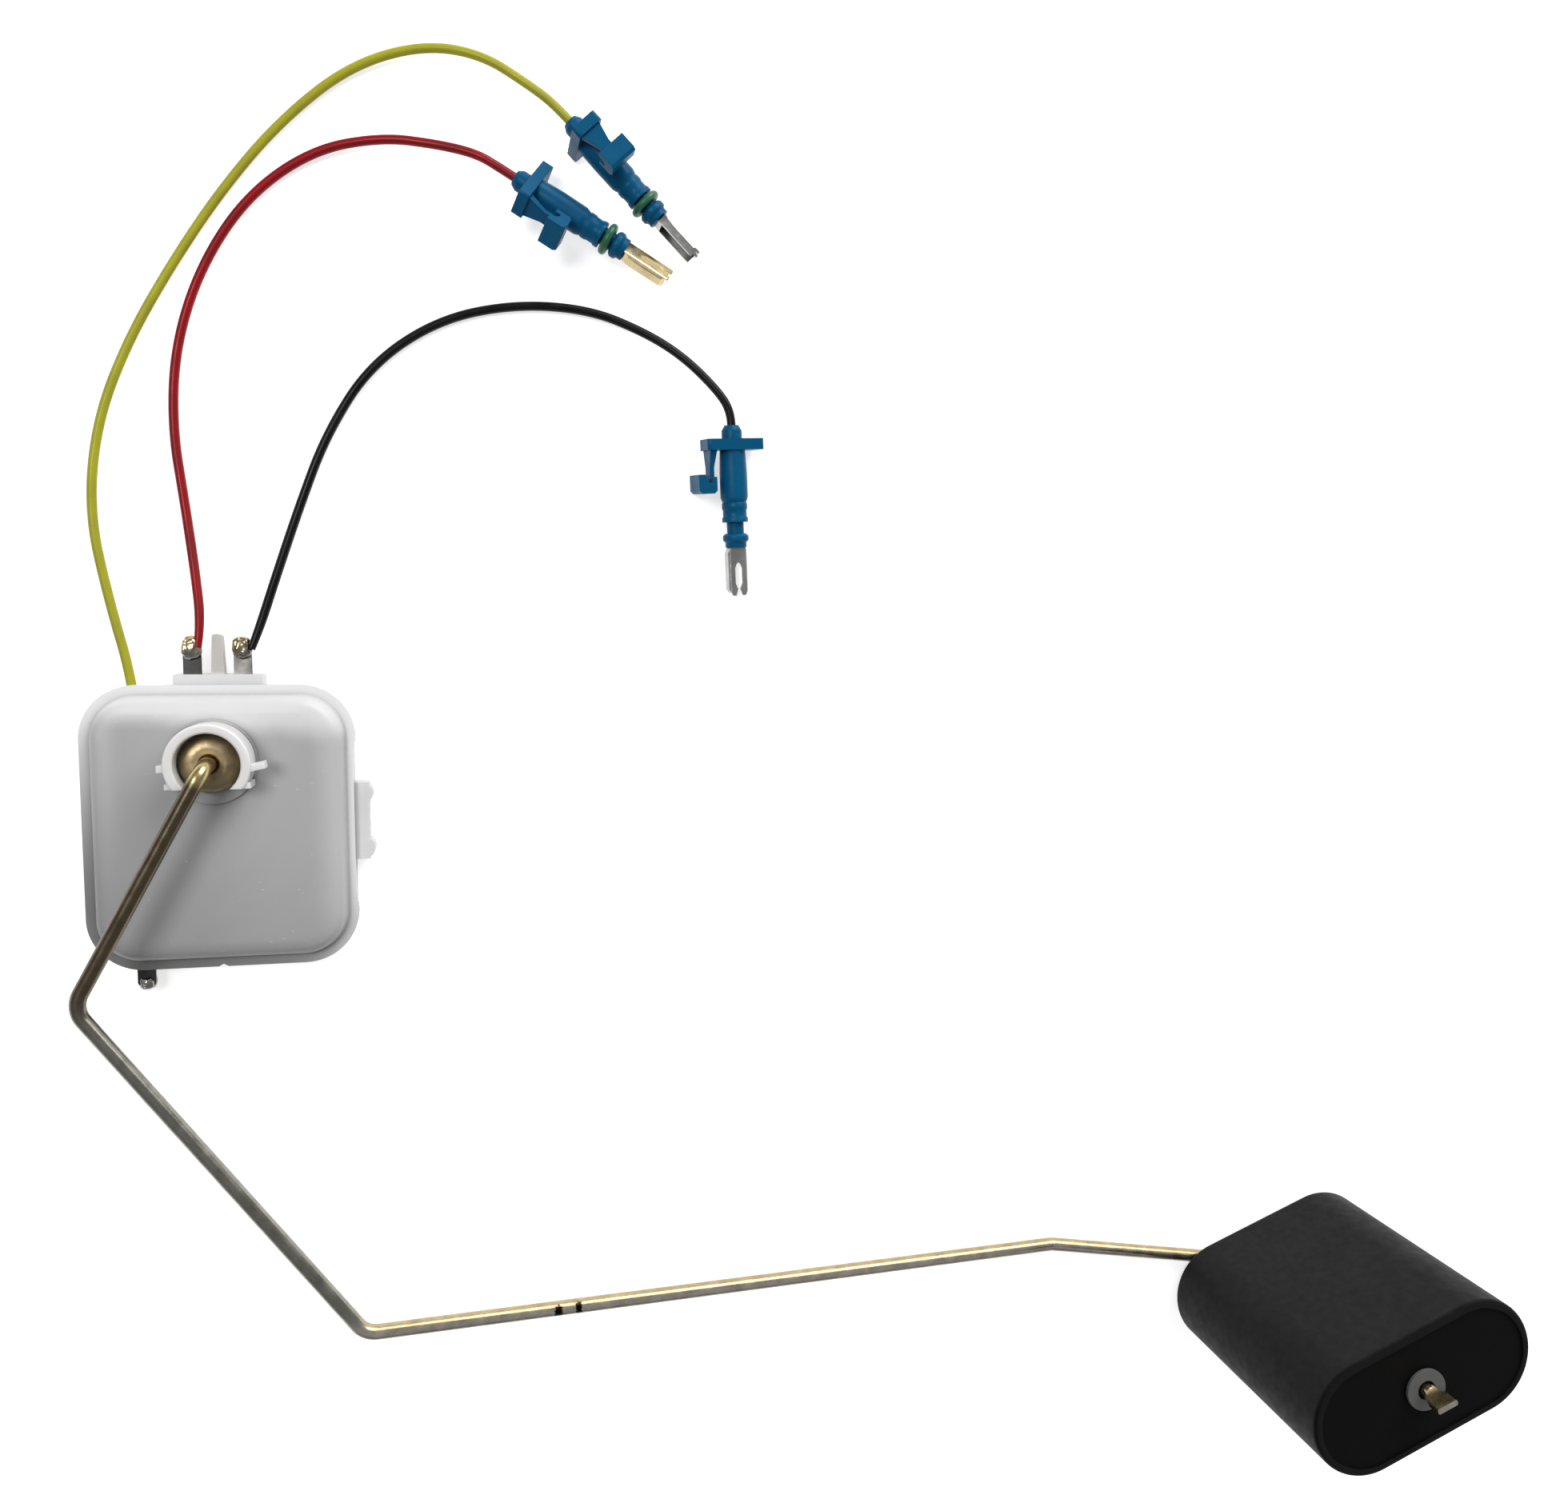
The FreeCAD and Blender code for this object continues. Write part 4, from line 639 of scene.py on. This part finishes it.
def shell_colour(tree, place):
    """White, and creamier on the post between the blades."""
    values = settings("sender_housing")
    across, along, _ = split_place(tree, place)
    post = product(tree, smooth_step(tree, away(tree, across, POST_MIDDLE), *POST_HALF),
                   smooth_step(tree, along, *POST_STARTS))
    return blend_colours(tree, post, values.shell_colour, values.post_colour)


def hub_colour(tree, place):
    """Brass with painted shade on its dome's rim."""
    values = settings("sender_metal")
    # Painted shade towards the dome's rim
    rim = smooth_step(tree, from_axis(tree, place), *HUB_RIM_SHADE)
    return blend_colours(tree, rim, values.brass_colour, values.brass_rim_shade)


def solder_colour(tree, place):
    """Tin that turns golden towards the tip."""
    values = settings("sender_metal")
    along = total(tree, split_place(tree, place)[1],
                  wander(tree, place, SOLDER_DRIFT_SCALE, SOLDER_DRIFT))
    return blend_colours(tree, smooth_step(tree, along, *SOLDER_TURNS),
                         values.tin_colour, values.solder_gold)


def wire_colour(tree, place):
    """Bronze, then grey steel, then plating with a painted reflection on its back and painted
    shade on its front; a painted highlight on the gold bend, and dark bands.
    """
    values = settings("sender_metal")
    across, along, _ = split_place(tree, place)
    down = product(tree, along, -1.0)
    plated = smooth_step(tree, down, *PLATING_STARTS)
    facing = split_place(tree, place.node.outputs["Normal"])[1]
    ragged = wander(tree, place, RAGGED_SCALE, RAGGED_REACH)
    front = smooth_step(tree, total(tree, down, ragged), *BAND_SIDE)
    layers = [(smooth_step(tree, down, *BRONZE_ENDS), values.iron_colour),
              (plated, values.steel_colour)]
    # Painted reflection on the back and painted shade on the front, by the normal
    for turn, tone in ((BACK_REFLECTION_TURN, values.back_reflection_colour), (FRONT_SHADE_TURN, values.front_shade_colour)):
        layers.append((product(tree, plated, smooth_step(tree, facing, *turn)), tone))
    # Painted highlight: gold on the bend over the hub
    layers.append((smooth_step(tree, from_axis(tree, place), *BEND_HIGHLIGHT), values.bend_highlight_colour))
    for middle, half in WIRE_BANDS:
        off = away(tree, total(tree, across, ragged), middle)
        band = product(tree, smooth_step(tree, off, half, half * BAND_CORE), front)
        layers.append((band, BAND_COLOUR))
    colour = values.bronze_colour
    for mask, tone in layers:
        colour = blend_colours(tree, mask, colour, tone)
    return colour


def foam_colour(tree, place):
    """Black skin, and painted shade that makes the sunk end face blacker."""
    values = settings("sender_float")
    up = split_place(tree, place)[2]
    # Painted shade on the sunk end face
    face = product(tree, stretch(tree, up, *FACE_STARTS), stretch(tree, up, *FACE_ENDS))
    return blend_colours(tree, face, values.skin_colour, values.face_shade_and_cloud_colour)


# Objects and meshes

def add_object(name, data):
    """A new object in the scene."""
    made = bpy.data.objects.new(name, data)
    bpy.context.scene.collection.objects.link(made)
    return made


def add_mesh(name, bm, material):
    """A new object made from a bmesh, with its material."""
    mesh = bpy.data.meshes.new(name)
    bm.to_mesh(mesh)
    bm.free()
    mesh.materials.append(material)
    return add_object(name, mesh)


def stand_for(piece, node):
    """Puts a piece in a CAD node's place, on that node's body."""
    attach(piece, NODES[node]["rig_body"])
    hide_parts(node)


def merged_copy(node):
    """A CAD node's mesh, merged and with its flat triangles joined."""
    bm = bmesh.new()
    bm.from_mesh(NODES[node].data)
    bmesh.ops.remove_doubles(bm, verts=bm.verts, dist=MERGE_DISTANCE)
    bmesh.ops.dissolve_limit(bm, angle_limit=math.radians(FLAT_ANGLE), verts=bm.verts,
                             edges=bm.edges, use_dissolve_boundaries=False)
    return bm


def softened(name, node, material, radius):
    """A node's own shape with its sharp edges rounded, or left as they are by a radius of 0."""
    bm = merged_copy(node)
    if radius:
        sharp = [edge for edge in bm.edges if edge.is_manifold
                 and edge.calc_face_angle(0.0) > math.radians(ROUND_ANGLE)]
        bmesh.ops.bevel(bm, geom=sharp, offset=radius, offset_type="OFFSET",
                        segments=EDGE_SEGMENTS, profile=0.5, affect="EDGES",
                        clamp_overlap=True, material=-1)
    piece = add_mesh(name, bm, material)
    stand_for(piece, node)
    piece.data.shade_smooth()
    piece.data.set_sharp_from_angle(angle=math.radians(SHARP_ANGLE))
    flat = piece.modifiers.new("Flat faces", "WEIGHTED_NORMAL")
    flat.keep_sharp = True
    flat.weight = FLAT_WEIGHT


def dress_node(node, material):
    """Gives a CAD node its material."""
    mesh = NODES[node].data
    mesh.materials.clear()
    mesh.materials.append(material)


# Pieces

class SENDER_OT_housing(bpy.types.Operator):
    """Dress the base shell and the lid in white moulded plastic"""
    bl_idname = "sender.housing"
    bl_label = "Housing"

    def execute(self, context):
        values = settings("sender_housing")
        # Both plastics get painted shade in their corners; the lid's colour also paints light
        # and shade
        shell = plastic("White shell", shell_colour, values.stain_colour, values.roughness,
                        SHELL_SOFT, corner_shade=SHELL_CORNER_SHADE)
        lid = plastic("Grey-white lid", lid_colour, values.stain_colour, values.roughness,
                      mottle=LID_MOTTLE, corner_shade=LID_CORNER_SHADE, smoother=LID_SMOOTHER)
        softened("base_shell_moulding", "base_shell", shell,
                 values.edge_radius)
        softened("lid_moulding", "lid", lid, values.edge_radius)
        return {"FINISHED"}


class SENDER_OT_retaining_clip(bpy.types.Operator):
    """Dress the clip that stands round the hub"""
    bl_idname = "sender.retaining_clip"
    bl_label = "Retaining clip"

    def execute(self, context):
        values = settings("sender_housing")
        white = plastic("Milky clip", values.clip_colour, values.shell_colour,
                        CLIP_ROUGHNESS, CLIP_SOFT)
        softened("clip_moulding", "retaining_clip", white,
                 values.edge_radius)
        return {"FINISHED"}


class SENDER_OT_hub(bpy.types.Operator):
    """Dress the turned brass hub"""
    bl_idname = "sender.hub"
    bl_label = "Hub"

    def execute(self, context):
        values = settings("sender_metal")
        brass = metal("Turned brass", hub_colour, values.bronze_colour, HUB_MOTTLE,
                      HUB_GRAIN, HUB_CORNER_SHADE)
        softened("hub_turning", "hub", brass, values.edge_radius)
        return {"FINISHED"}


class SENDER_OT_inner_parts(bpy.types.Operator):
    """Dress the card, its tracks and the wiper inside the housing"""
    bl_idname = "sender.inner_parts"
    bl_label = "Inner parts"

    def execute(self, context):
        metals = settings("sender_metal")
        board = plastic("Card", *CARD_LOOK)
        ink = plastic("Carbon ink", *CARBON_LOOK)
        silver = metal("Silver ink", metals.fork_silver, metals.tin_colour, METAL_MOTTLE,
                       INK_GRAIN)
        nylon = plastic("Carrier nylon", *NYLON_LOOK)
        spring = metal("Spring bronze", *SPRING_COLOURS, METAL_MOTTLE, SPRING_GRAIN)
        for node, material in (("resistor_card", board), ("resistor_track", ink),
                               ("contact_track", silver), ("wiper_carrier", nylon),
                               ("wiper_spring", spring), ("wiper_contacts", silver)):
            dress_node(node, material)
        return {"FINISHED"}


class SENDER_OT_terminals(bpy.types.Operator):
    """Dress the three tinned blades"""
    bl_idname = "sender.terminals"
    bl_label = "Terminal blades"

    def execute(self, context):
        values = settings("sender_metal")
        bright, dark = [
            metal(name, tone, BLADE_SHADE, BLADE_MOTTLE, BLADE_GRAIN)
            for name, tone in (("Tinned blade", values.tin_colour),
                               ("Tarnished blade", values.dark_tin))]
        for colour in CORDS:
            softened("blade_" + colour, "terminal_" + colour,
                     bright if colour == "black" else dark,
                     values.edge_radius)
        return {"FINISHED"}


class SENDER_OT_solder(bpy.types.Operator):
    """Make the lumpy solder on each blade's tip"""
    bl_idname = "sender.solder"
    bl_label = "Solder"

    def lumpy(self, place, seed):
        """A point of the unit ball moved to a squarer, lumpy surface."""
        lump = noise.noise(place * LUMP_SCALE + Vector((seed * LUMP_STEP, *LUMP_PLACE)))
        low, high = RIPPLE_PLACE
        ripple = noise.noise(place * RIPPLE_SCALE + Vector((low, seed * RIPPLE_STEP, high)))
        lump += RIPPLE_SHARE * ripple
        squarer = Vector([abs(c) ** NUGGET_POWER * math.copysign(1.0, c) for c in place])
        return squarer * (1.0 + LUMP_REACH * lump)

    def execute(self, context):
        alloy = metal("Solder", solder_colour, SOLDER_SHADE, SOLDER_MOTTLE, SOLDER_GRAIN)
        for seed, colour in enumerate(CORDS):
            node = "solder_" + colour
            low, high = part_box(node)
            bm = bmesh.new()
            bmesh.ops.create_icosphere(bm, subdivisions=NUGGET_SUBDIVISIONS, radius=1.0)
            for vert in bm.verts:
                vert.co = self.lumpy(vert.co, seed)
            bmesh.ops.scale(bm, vec=(high - low) / 2 * NUGGET_FILL, verts=bm.verts)
            bmesh.ops.translate(bm, vec=(low + high) / 2, verts=bm.verts)
            piece = add_mesh("nugget_" + colour, bm, alloy)
            stand_for(piece, node)
            piece.data.shade_smooth()
        return {"FINISHED"}


class SENDER_OT_float_arm(bpy.types.Operator):
    """Dress the bent wire, bronze near the hub and brighter towards the float"""
    bl_idname = "sender.float_arm"
    bl_label = "Float arm"

    def execute(self, context):
        wire = metal("Plated wire", wire_colour, WIRE_SHADE, WIRE_MOTTLE, WIRE_GRAIN)
        softened("arm_wire", "float_arm", wire, 0.0)
        return {"FINISHED"}


class SENDER_OT_float(bpy.types.Operator):
    """Dress the moulded foam float"""
    bl_idname = "sender.float"
    bl_label = "Float"

    def execute(self, context):
        values = settings("sender_float")
        foam = new_material("Nitrile foam", foam_colour, values.face_shade_and_cloud_colour,
                            (*FOAM_CLOUDS, values.pore_scale, FOAM_PORES),
                            (values.pore_scale, *FOAM_GRAIN))
        softened("foam_float", "float", set_shader(foam, FOAM_GLOSS), 0.0)
        return {"FINISHED"}


class SENDER_OT_washer(bpy.types.Operator):
    """Dress the grey washer on the float"""
    bl_idname = "sender.washer"
    bl_label = "Washer"

    def execute(self, context):
        values = settings("sender_metal")
        grey = plastic("Grey washer", values.washer_colour, WASHER_SHADE, WASHER_ROUGHNESS)
        softened("washer_disc", "float_washer", grey, values.edge_radius)
        return {"FINISHED"}


class SENDER_OT_cords(bpy.types.Operator):
    """Lay the three cords along their routes"""
    bl_idname = "sender.cords"
    bl_label = "Cords"

    def execute(self, context):
        values = settings("sender_cords")
        for colour, (route, length, on_it) in CORDS.items():
            insulation = plastic("Insulation " + colour, getattr(values, colour),
                                 CORD_SHADES[colour], CORD_ROUGHNESS, mottle=CORD_MOTTLE,
                                 shine=CORD_SHINE)
            curve = bpy.data.curves.new(colour + "_lead", "CURVE")
            curve.dimensions = "3D"
            spline = curve.splines.new("NURBS")
            spline.points.add(len(route) - 1)
            for point, place in zip(spline.points, route):
                point.co = (*place, 1.0)
            spline.points[0].radius = values.end_share
            spline.order_u = 3
            spline.use_endpoint_u = True
            curve.resolution_u = values.steps
            curve.bevel_depth = values.diameter / 2
            curve.bevel_resolution = CORD_ROUNDNESS
            curve.use_fill_caps = True
            curve.materials.append(insulation)
            lead = add_object(colour + "_lead", curve)
            stand_for(lead, colour + "_cord")
        return {"FINISHED"}


class SENDER_OT_plugs(bpy.types.Operator):
    """Dress the blue plugs, their green rings and their forks"""
    bl_idname = "sender.plugs"
    bl_label = "Plugs, rings and forks"

    def execute(self, context):
        values = settings("sender_plugs")
        metals = settings("sender_metal")
        blue = plastic("Blue plug", values.blue, PLUG_SHADE, PLUG_ROUGHNESS,
                       mottle=PLUG_MOTTLE, corner_shade=PLUG_CORNER_SHADE, shine=PLUG_SHINE,
                       wave=PLUG_WAVE)
        green = plastic("Green ring", values.ring_green, RING_SHADE, RING_ROUGHNESS)
        silver = metal("Tinned fork", metals.fork_silver, SILVER_SHADE, METAL_MOTTLE,
                       SILVER_GRAIN, SILVER_CORNER_SHADE)
        gold = metal("Gold-toned fork", metals.fork_gold, GOLD_SHADE, GOLD_MOTTLE,
                     GOLD_GRAIN, GOLD_CORNER_SHADE)
        for colour in CORDS:
            softened("body_plug_" + colour, "plug_" + colour, blue,
                     values.edge_radius)
            finish, slot = (gold, "fork_gold") if colour == "red" else (silver, "fork_silver")
            softened("body_fork_" + colour, "fork_" + colour, finish,
                     metals.edge_radius)
            if "o_ring_" + colour in NODES:
                softened("body_o_ring_" + colour, "o_ring_" + colour, green,
                         0.0)
        return {"FINISHED"}


# Stage

# The camera: its place and directions, its lens and sensor in millimetres
CAMERA_PLACE = (0.04763, 0.02795, 0.291)
CAMERA_RIGHT = (0.97352, 0.00595, 0.22855)
CAMERA_DOWN = (-0.0162, -0.99536, 0.09489)
CAMERA_AHEAD = (0.22805, -0.09608, -0.9689)
CAMERA_LENS = 31.224
CAMERA_SENSOR = 36.0
CAMERA_NEAREST = 0.01
# The two lamps in metres: their places and sizes, and the point that both are aimed at
KEY_PLACE = (0.62, 0.92, 0.55)
KEY_SIZE = (1.0, 0.7)
ABOVE_PLACE = (-0.37, 0.25, 0.95)
ABOVE_SIZE = (0.35, 0.35)
LAMP_TARGET = (0.08, 0.0, 0.01)
# The floor's dull surface, and the strength of its own white where a ray sees it
WHITE = (1.0, 1.0, 1.0)
FLOOR_GLOSS = {"Roughness": 0.9, "Specular IOR Level": 0.2, "Emission Color": WHITE}
FLOOR_LIFT = 0.6


def add_camera(scene):
    """The camera at the photograph's place and angle."""
    data = bpy.data.cameras.new("View")
    data.sensor_fit = "HORIZONTAL"
    data.sensor_width = CAMERA_SENSOR
    data.lens = CAMERA_LENS
    data.clip_start = CAMERA_NEAREST
    camera = add_object("View", data)
    turn = Matrix((Vector(CAMERA_RIGHT), -Vector(CAMERA_DOWN), -Vector(CAMERA_AHEAD)))
    camera.matrix_world = Matrix.Translation(CAMERA_PLACE) @ turn.transposed().to_4x4()
    scene.camera = camera


def add_softbox(name, place, size, power):
    """A rectangular area light aimed at the sender."""
    data = bpy.data.lights.new(name, "AREA")
    data.shape = "RECTANGLE"
    data.size, data.size_y = size
    data.energy = power
    turn = (Vector(LAMP_TARGET) - Vector(place)).to_track_quat("-Z", "Y")
    add_object(name, data).matrix_world = (Matrix.Translation(place)
                                           @ turn.to_matrix().to_4x4())


def floor_material(colour):
    """Pale floor that reads white straight, in metal or through glass, and keeps shadows."""
    material = bpy.data.materials.new("Pale floor")
    material.use_nodes = True
    tree = material.node_tree
    path = tree.nodes.new("ShaderNodeLightPath").outputs
    seen = larger(tree, larger(tree, path["Is Camera Ray"], path["Is Glossy Ray"]),
                  path["Is Transmission Ray"])
    return set_shader(material, {"Base Color": colour, **FLOOR_GLOSS,
                                 "Emission Strength": product(tree, seen, FLOOR_LIFT)})


def add_floor(colour, size):
    """The pale square floor."""
    bm = bmesh.new()
    bmesh.ops.create_grid(bm, x_segments=1, y_segments=1, size=size / 2)
    add_mesh("floor", bm, floor_material(colour))


def even_sky(strength):
    """A white world that lights everything alike."""
    world = bpy.data.worlds.new("Even sky")
    world.use_nodes = True
    back = world.node_tree.nodes["Background"]
    feed(world.node_tree, back.inputs["Color"], WHITE)
    feed(world.node_tree, back.inputs["Strength"], strength)
    return world


class SENDER_OT_stage(bpy.types.Operator):
    """Set up the floor, the soft lights and the camera"""
    bl_idname = "sender.stage"
    bl_label = "Stage"

    def execute(self, context):
        values = settings("sender_stage")
        scene = context.scene
        add_camera(scene)
        add_floor(values.floor_colour, values.floor_size)
        add_softbox("Key", KEY_PLACE, KEY_SIZE, values.key_power)
        add_softbox("Above", ABOVE_PLACE, ABOVE_SIZE, values.above_power)
        scene.world = even_sky(values.sky_strength)
        scene.view_settings.view_transform = "Standard"
        return {"FINISHED"}


STEPS = (SENDER_OT_stage, SENDER_OT_housing, SENDER_OT_retaining_clip, SENDER_OT_hub,
         SENDER_OT_inner_parts, SENDER_OT_terminals, SENDER_OT_solder,
         SENDER_OT_float_arm, SENDER_OT_float, SENDER_OT_washer, SENDER_OT_plugs,
         SENDER_OT_cords)


class SENDER_PT_panel(bpy.types.Panel):
    """Lists the steps and their settings"""
    bl_idname = "SENDER_PT_panel"
    bl_label = "Fuel Level Sender"
    bl_space_type = "VIEW_3D"
    bl_region_type = "UI"
    bl_category = "Fuel Level Sender"

    def draw(self, context):
        for step in STEPS:
            self.layout.operator(step.bl_idname)
        for name, kind in SETTINGS.items():
            box = self.layout.box()
            for item in kind.__annotations__:
                box.prop(getattr(context.scene, name), item)


CLASSES = (*SETTINGS.values(), *STEPS, SENDER_PT_panel)


def register():
    """Adds the classes and the settings."""
    for kind in CLASSES:
        bpy.utils.register_class(kind)
    for name, kind in SETTINGS.items():
        setattr(bpy.types.Scene, name, PointerProperty(type=kind))


def unregister():
    """Takes the settings and the classes away."""
    for name in SETTINGS:
        delattr(bpy.types.Scene, name)
    for kind in reversed(CLASSES):
        bpy.utils.unregister_class(kind)


def main():
    """Builds every piece in order."""
    register()
    for step in STEPS:
        group, name = step.bl_idname.split(".")
        getattr(getattr(bpy.ops, group), name)()


if __name__ == "__main__":
    main()
